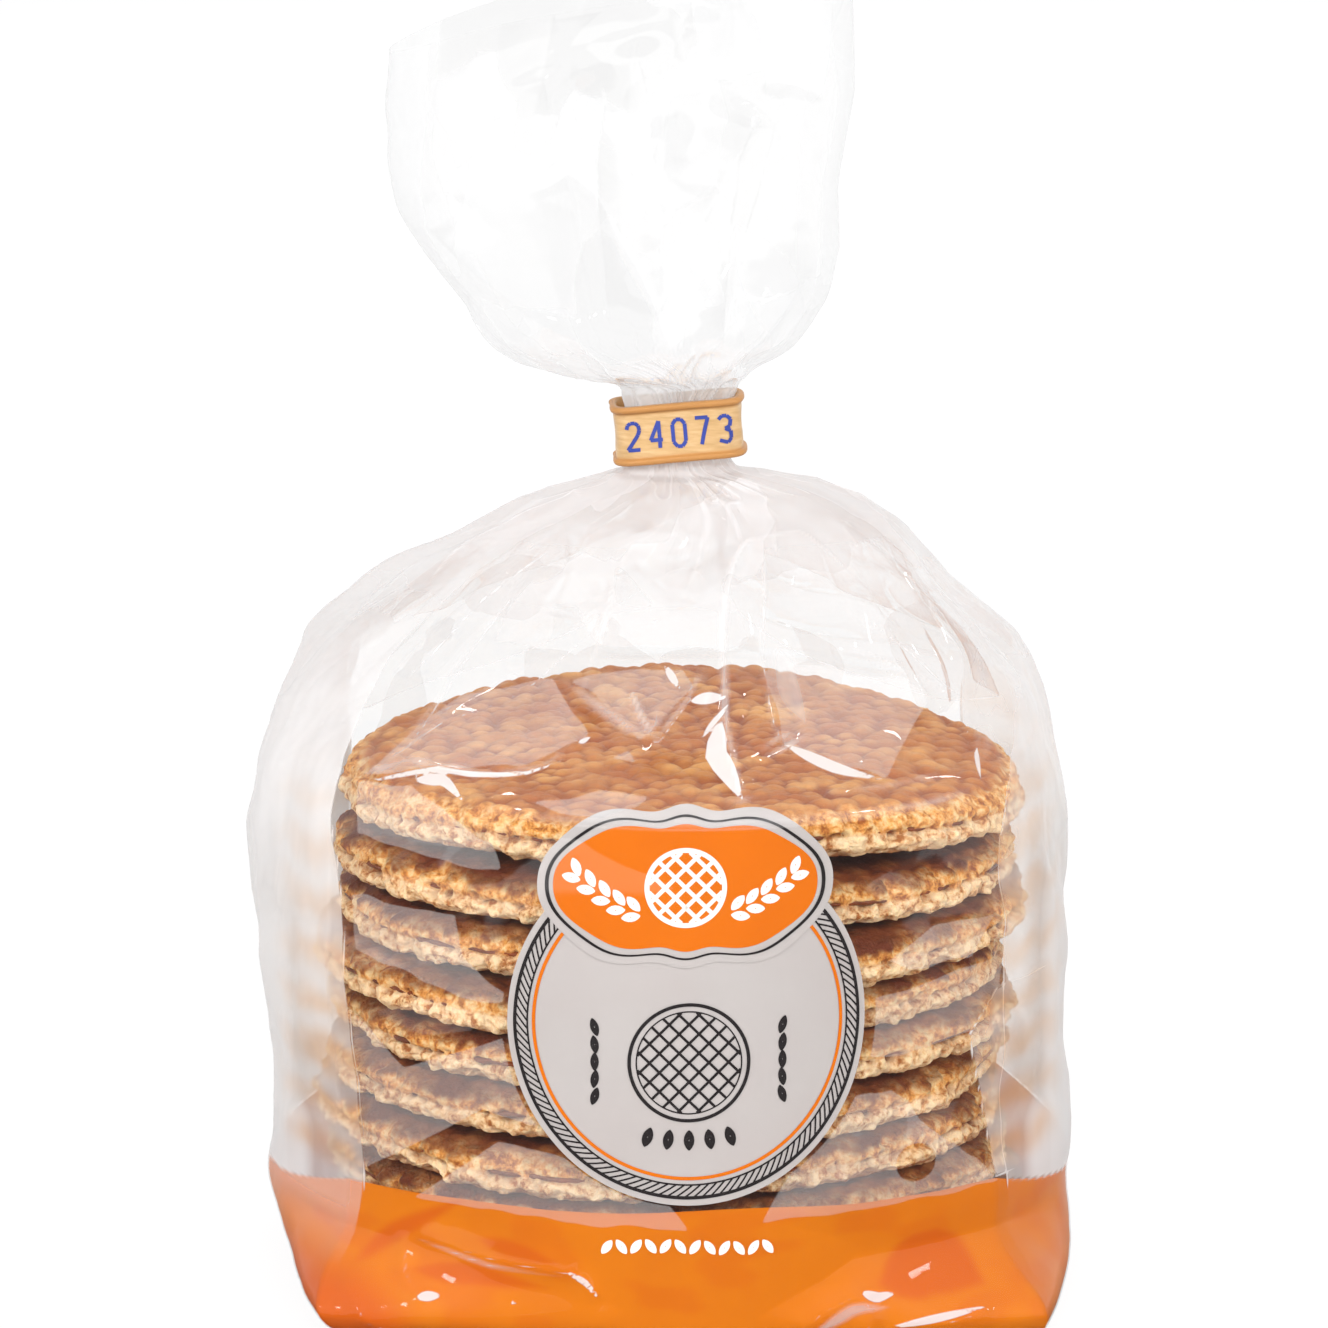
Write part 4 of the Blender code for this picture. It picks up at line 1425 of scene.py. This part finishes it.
# Plain digits as bent lines, one unit wide and two tall.
DIGIT_LINES = {
    "0": ((0.3, 0), (0, 0.35), (0, 1.65), (0.3, 2), (0.7, 2), (1, 1.65), (1, 0.35), (0.7, 0), (0.3, 0)),
    "2": ((0, 1.55), (0.1, 1.85), (0.35, 2), (0.7, 2), (0.95, 1.8), (1, 1.45), (0.85, 1.1), (0, 0), (1, 0)),
    "3": (
        (0, 1.75), (0.3, 2), (0.7, 2), (1, 1.7), (0.9, 1.2),
        (0.5, 1.05), (0.95, 0.85), (1, 0.3), (0.7, 0), (0, 0.2),
    ),
    "4": ((0.75, 0), (0.75, 2), (0, 0.6), (1, 0.6)),
    "7": ((0, 2), (1, 2), (0.4, 0)),
}


def strip_point(turn, out, height):
    """A place on the clip strip. turn goes round its superellipse, out is measured from its inner wall,
    and height from its middle line. The end of the band laps over its start across the left of the
    back."""
    turn, out, height = np.broadcast_arrays(turn, out, height)
    power = 2.0 / STRIP_SQUARENESS
    cosine, sine = np.cos(turn), np.sin(turn)
    lap = 0.42 * ease(turn, 1.78, 1.84) * ease(-turn, -2.96, -2.8) * (out > 0.2)
    places = np.stack([6.0 * cosine, 6.0 * sine, height], axis=-1)
    dent = 0.14 * layered_noise(places, 3.2, 501, 2) * (out > 0.2)
    grown = out + lap + dent
    x = (STRIP_HALF_WIDTH - STRIP_WALL + grown) * np.sign(cosine) * np.abs(cosine) ** power
    y = (STRIP_HALF_DEPTH - STRIP_WALL + grown) * np.sign(sine) * np.abs(sine) ** power
    cos_tilt, sin_tilt = math.cos(STRIP_TILT), math.sin(STRIP_TILT)
    rolled = height + 0.12 * np.sin(3.0 * turn)
    place = np.stack([x * cos_tilt - rolled * sin_tilt, y, x * sin_tilt + rolled * cos_tilt], axis=-1)
    return place + STRIP_CENTRE


def strip_material(settings):
    """Paper tape laid over a wire along each edge, coated and pressed: a satin face with fine lengthwise
    fibre and light wrinkles, browner along its beaded edges and somewhat browner on its inner face."""
    material, tree, output = new_material("coated_paper_tape")
    place = add_node(tree, "ShaderNodeTexCoord").outputs["Object"]
    raised = add_node(tree, "ShaderNodeAttribute", attribute_name="bead").outputs["Fac"]
    # Fibres about 0.4 mm thick and some 3 mm long, coarser than paper's own so that they show.
    scaled = add_node(tree, "ShaderNodeMapping", {"Vector": place, "Scale": (1.0, 1.0, 6.0)})
    inputs = {"Vector": scaled.outputs[0], "Scale": 1.0 / 0.003, "Detail": 4.0}
    fibre = add_node(tree, "ShaderNodeTexNoise", inputs)
    light = add_node(
        tree,
        "ShaderNodeValToRGB",
        {"Fac": fibre.outputs["Fac"]},
        stops=[(0.3, linear("#BF9A68")), (0.5, tuple(settings.paper)), (0.75, linear("#D6B688"))],
    )
    inputs = {"Factor": raised, "A": light.outputs["Color"], "B": tuple(settings.bead)}
    tone = add_node(tree, "ShaderNodeMix", inputs, data_type="RGBA")
    inputs = {"Height": fibre.outputs["Fac"], "Strength": 0.35, "Distance": 0.0003}
    bump = add_node(tree, "ShaderNodeBump", inputs)
    inputs = {"Base Color": tone.outputs["Result"], "Roughness": 0.4, "Normal": bump.outputs["Normal"]}
    shader = add_node(tree, "ShaderNodeBsdfPrincipled", inputs)
    tree.links.new(shader.outputs[0], output.inputs["Surface"])
    return material


def add_stamp(settings):
    """Plain digits stamped across the front."""
    wide, tall = 1.75, 1.95
    starts, ends = [], []
    for place, digit in enumerate("24073"):
        line = np.array(DIGIT_LINES[digit]) * (wide, tall) + (-7.3 + 3.25 * place, -tall)
        starts.extend(line[:-1])
        ends.extend(line[1:])
    x, z = strokes(starts, ends, 0.27, 8)
    share = np.abs(x) / STRIP_HALF_WIDTH
    cosine = np.sign(x) * share ** (0.5 * STRIP_SQUARENESS)
    points = strip_point(TAU - np.arccos(cosine), np.full(x.shape, STRIP_WALL + 0.1), z)
    count, rows, columns = x.shape
    grid = grid_faces(rows, columns, wrap=False)
    a, b, c, _ = points.reshape(-1, 3)[grid[0]]
    if np.cross(b - a, c - a)[1] > 0.0:
        grid = grid[:, ::-1]
    faces = (grid[None] + np.arange(count)[:, None, None] * rows * columns).reshape(-1, 4)
    ink = ink_material("blue_stamp_ink", settings.stamp, 0.25)
    piece = build_mesh("strip_stamp", points.reshape(-1, 3), [faces], ink)
    settle(piece, "closure_strip")


class WAFERS_OT_strip(bpy.types.Operator):
    """Adds the clip strip round the neck, with its stamped digits"""

    bl_idname = "wafers.strip"
    bl_label = "Clip Strip"

    def execute(self, context):
        settings = context.scene.strip_settings
        columns = 480
        turn = np.linspace(0.0, TAU, columns, endpoint=False)
        turn = (turn + 0.16 * np.sin(4.0 * turn))[None, :]  # closer steps at the loop's corners
        half, bead = STRIP_HALF_HEIGHT, 0.5
        curl = np.linspace(-0.5 * math.pi, 0.5 * math.pi, 9)
        face = np.linspace(-half + 2.0 * bead, half - 2.0 * bead, 16)[1:-1]
        out = np.concatenate([STRIP_WALL + bead * np.cos(curl), np.full(len(face), STRIP_WALL + 0.02)])
        out = np.concatenate([out, STRIP_WALL + bead * np.cos(curl), np.zeros(10)])
        height = np.concatenate([-half + bead * (1.0 + np.sin(curl)), face])
        height = np.concatenate([height, half - bead * (1.0 - np.sin(curl)), np.linspace(half, -half, 10)])
        raised = np.concatenate([np.ones(9), np.zeros(len(face)), np.ones(9), np.full(10, 0.6)])
        points = strip_point(turn, out[:, None], height[:, None])
        rows = len(points)
        grid = grid_faces(rows + 1, columns)
        faces = np.where(grid >= rows * columns, grid - rows * columns, grid)
        marks = {"bead": raised[:, None] + 0.0 * turn}
        material = strip_material(settings)
        piece = build_mesh("strip_band", points.reshape(-1, 3), [faces], material, marks)
        settle(piece, "closure_strip")
        add_stamp(settings)
        return {"FINISHED"}


# ---------------------------------------------------------------- stage


def add_softbox(name, place, target, size, glow, mirrored=True):
    """A rectangular softbox aimed at a point. glow is its brightness against a white sheet's 1. It isn't
    seen itself, and where it is crossed by a polariser, it isn't mirrored either."""
    data = bpy.data.lights.new(name, "AREA")
    data.shape = "RECTANGLE"
    data.size, data.size_y = size
    data.energy = glow * math.pi * size[0] * size[1]
    obj = bpy.data.objects.new(name, data)
    bpy.context.scene.collection.objects.link(obj)
    direction = np.array(target) - np.array(place)
    direction = direction / np.linalg.norm(direction)
    obj.location = place
    heading = math.atan2(direction[1], direction[0])
    obj.rotation_euler = (math.acos(-direction[2]), 0.0, heading - 0.5 * math.pi)
    obj.visible_camera = False
    obj.visible_glossy = mirrored
    return obj


def floor_material():
    """A white sweep lit from within, so that it stays white behind clear film and takes only a faint shadow.
    In reflections it is painted dark round the bag, a painted shadow of the bag, and white further off."""
    material, tree, output = new_material("white_studio_sweep")
    path = add_node(tree, "ShaderNodeLightPath").outputs
    place = add_node(tree, "ShaderNodeTexCoord").outputs["Object"]
    inputs = {0: place, 1: (0.6, 1.0, 1.0)}
    flat = add_node(tree, "ShaderNodeVectorMath", inputs, operation="MULTIPLY").outputs[0]
    inputs = {0: flat, 1: (0.0, -0.24, 0.0)}
    away = add_node(tree, "ShaderNodeVectorMath", inputs, operation="DISTANCE").outputs["Value"]
    names = ("Value", "From Min", "From Max", "To Min", "To Max")
    inputs = dict(zip(names, (away, 0.19, 0.31, 0.04, 0.95)))
    level = add_node(tree, "ShaderNodeMapRange", inputs).outputs["Result"]
    mirrored = add_node(tree, "ShaderNodeEmission", {"Color": WHITE, "Strength": level})
    glow = add_node(tree, "ShaderNodeEmission", {"Color": WHITE, "Strength": 0.93})
    faint = add_node(tree, "ShaderNodeBsdfDiffuse", {"Color": (0.08, 0.08, 0.08, 1.0)})
    lit = add_node(tree, "ShaderNodeAddShader", {0: glow.outputs[0], 1: faint.outputs[0]})
    grey = add_node(tree, "ShaderNodeBsdfDiffuse", {"Color": linear("#BDBBB8")})
    other = {0: path["Is Glossy Ray"], 1: grey.outputs[0], 2: mirrored.outputs[0]}
    other = add_node(tree, "ShaderNodeMixShader", other)
    inputs = {0: path["Is Camera Ray"], 1: other.outputs[0], 2: lit.outputs[0]}
    shader = add_node(tree, "ShaderNodeMixShader", inputs)
    tree.links.new(shader.outputs[0], output.inputs["Surface"])
    return material


class WAFERS_OT_stage(bpy.types.Operator):
    """Adds the floor, the world, the softboxes and the camera"""

    bl_idname = "wafers.stage"
    bl_label = "Studio"

    def execute(self, context):
        scene = context.scene
        settings = scene.stage_settings
        reach = 6000.0
        corners = reach * np.array([(-1, -1, 0), (1, -1, 0), (1, 1, 0), (-1, 1, 0)], float)
        floor = build_mesh("studio_floor", corners, [np.array([[0, 1, 2, 3]])], floor_material())
        world = bpy.data.worlds.new("studio_world")
        world.use_nodes = True
        scene.world = world
        tree = world.node_tree
        path = add_node(tree, "ShaderNodeLightPath").outputs
        inputs = {0: path["Is Camera Ray"], 1: 0.585, 2: 0.4}
        seen = add_node(tree, "ShaderNodeMath", inputs, operation="MULTIPLY_ADD")
        # Reflections see white all round, but for the dark room behind the camera.
        direction = add_node(tree, "ShaderNodeTexCoord").outputs["Generated"]
        inputs = {0: direction, 1: (0.0, -0.985, 0.17)}
        ahead = add_node(tree, "ShaderNodeVectorMath", inputs, operation="DOT_PRODUCT").outputs["Value"]
        names = ("Value", "From Min", "From Max", "To Min", "To Max")
        room = add_node(tree, "ShaderNodeMapRange", dict(zip(names, (ahead, 0.74, 0.93, 0.56, -0.18))))
        inputs = {0: path["Is Glossy Ray"], 1: room.outputs["Result"], 2: seen.outputs[0]}
        level = add_node(tree, "ShaderNodeMath", inputs, operation="MULTIPLY_ADD")
        background = tree.nodes["Background"]
        background.inputs["Color"].default_value = WHITE
        tree.links.new(level.outputs[0], background.inputs["Strength"])
        aim = (0.0, 0.0, 0.09)
        add_softbox("softbox_left", (-1.0, -0.8, 0.6), aim, (0.65, 0.85), 6.2, mirrored=False)
        add_softbox("softbox_right", (0.95, -0.85, 0.6), aim, (0.6, 0.85), 5.5, mirrored=False)
        add_softbox("softbox_front", (0.0, -1.3, 0.8), aim, (1.3, 0.6), 5.2, mirrored=False)
        add_softbox("softbox_back", (0.3, 1.3, 0.8), aim, (1.2, 0.6), 4.4, mirrored=False)
        add_softbox("softbox_top", (-0.12, 0.12, 1.25), aim, (0.45, 0.3), 2.8, mirrored=False)
        add_softbox("strobe_left", (-0.85, -0.75, 0.75), aim, (0.1, 0.16), 16.0)
        add_softbox("strobe_right", (0.95, -0.4, 0.9), aim, (0.1, 0.16), 16.0)
        data = bpy.data.cameras.new("camera")
        data.lens = settings.lens
        data.sensor_width = 36.0
        camera = bpy.data.objects.new("camera", data)
        scene.collection.objects.link(camera)
        camera.location = (0.0, -settings.distance, settings.height)
        drop = math.atan2(settings.height - settings.aim, settings.distance)
        camera.rotation_euler = (0.5 * math.pi - drop, 0.0, 0.0)
        scene.camera = camera
        scene.view_settings.view_transform = "Standard"
        scene.view_settings.look = "None"
        scene.cycles.transparent_max_bounces = 40
        return {"FINISHED"}


# ---------------------------------------------------------------- panel and registration


OPERATORS = (
    WAFERS_OT_stage,
    WAFERS_OT_stack,
    WAFERS_OT_caramel,
    WAFERS_OT_foot,
    WAFERS_OT_label,
    WAFERS_OT_film,
    WAFERS_OT_strip,
)
SETTINGS = {
    "wafer_settings": WaferSettings,
    "film_settings": FilmSettings,
    "print_settings": PrintSettings,
    "strip_settings": StripSettings,
    "stage_settings": StageSettings,
}


class WAFERS_PT_panel(bpy.types.Panel):
    bl_idname = "WAFERS_PT_panel"
    bl_label = "Bag of Wafers"
    bl_space_type = "VIEW_3D"
    bl_region_type = "UI"
    bl_category = "Wafers"

    def draw(self, context):
        for name, group in SETTINGS.items():
            box = self.layout.box()
            for key in group.__annotations__:
                box.prop(getattr(context.scene, name), key)
        for operator in OPERATORS:
            self.layout.operator(operator.bl_idname)


def register():
    for group in (*SETTINGS.values(), *OPERATORS, WAFERS_PT_panel):
        bpy.utils.register_class(group)
    for name, group in SETTINGS.items():
        setattr(bpy.types.Scene, name, PointerProperty(type=group))


def unregister():
    for name in SETTINGS:
        delattr(bpy.types.Scene, name)
    for group in reversed((*SETTINGS.values(), *OPERATORS, WAFERS_PT_panel)):
        bpy.utils.unregister_class(group)


def main():
    register()
    for operator in OPERATORS:
        space, name = operator.bl_idname.split(".")
        getattr(getattr(bpy.ops, space), name)()


if __name__ == "__main__":
    main()
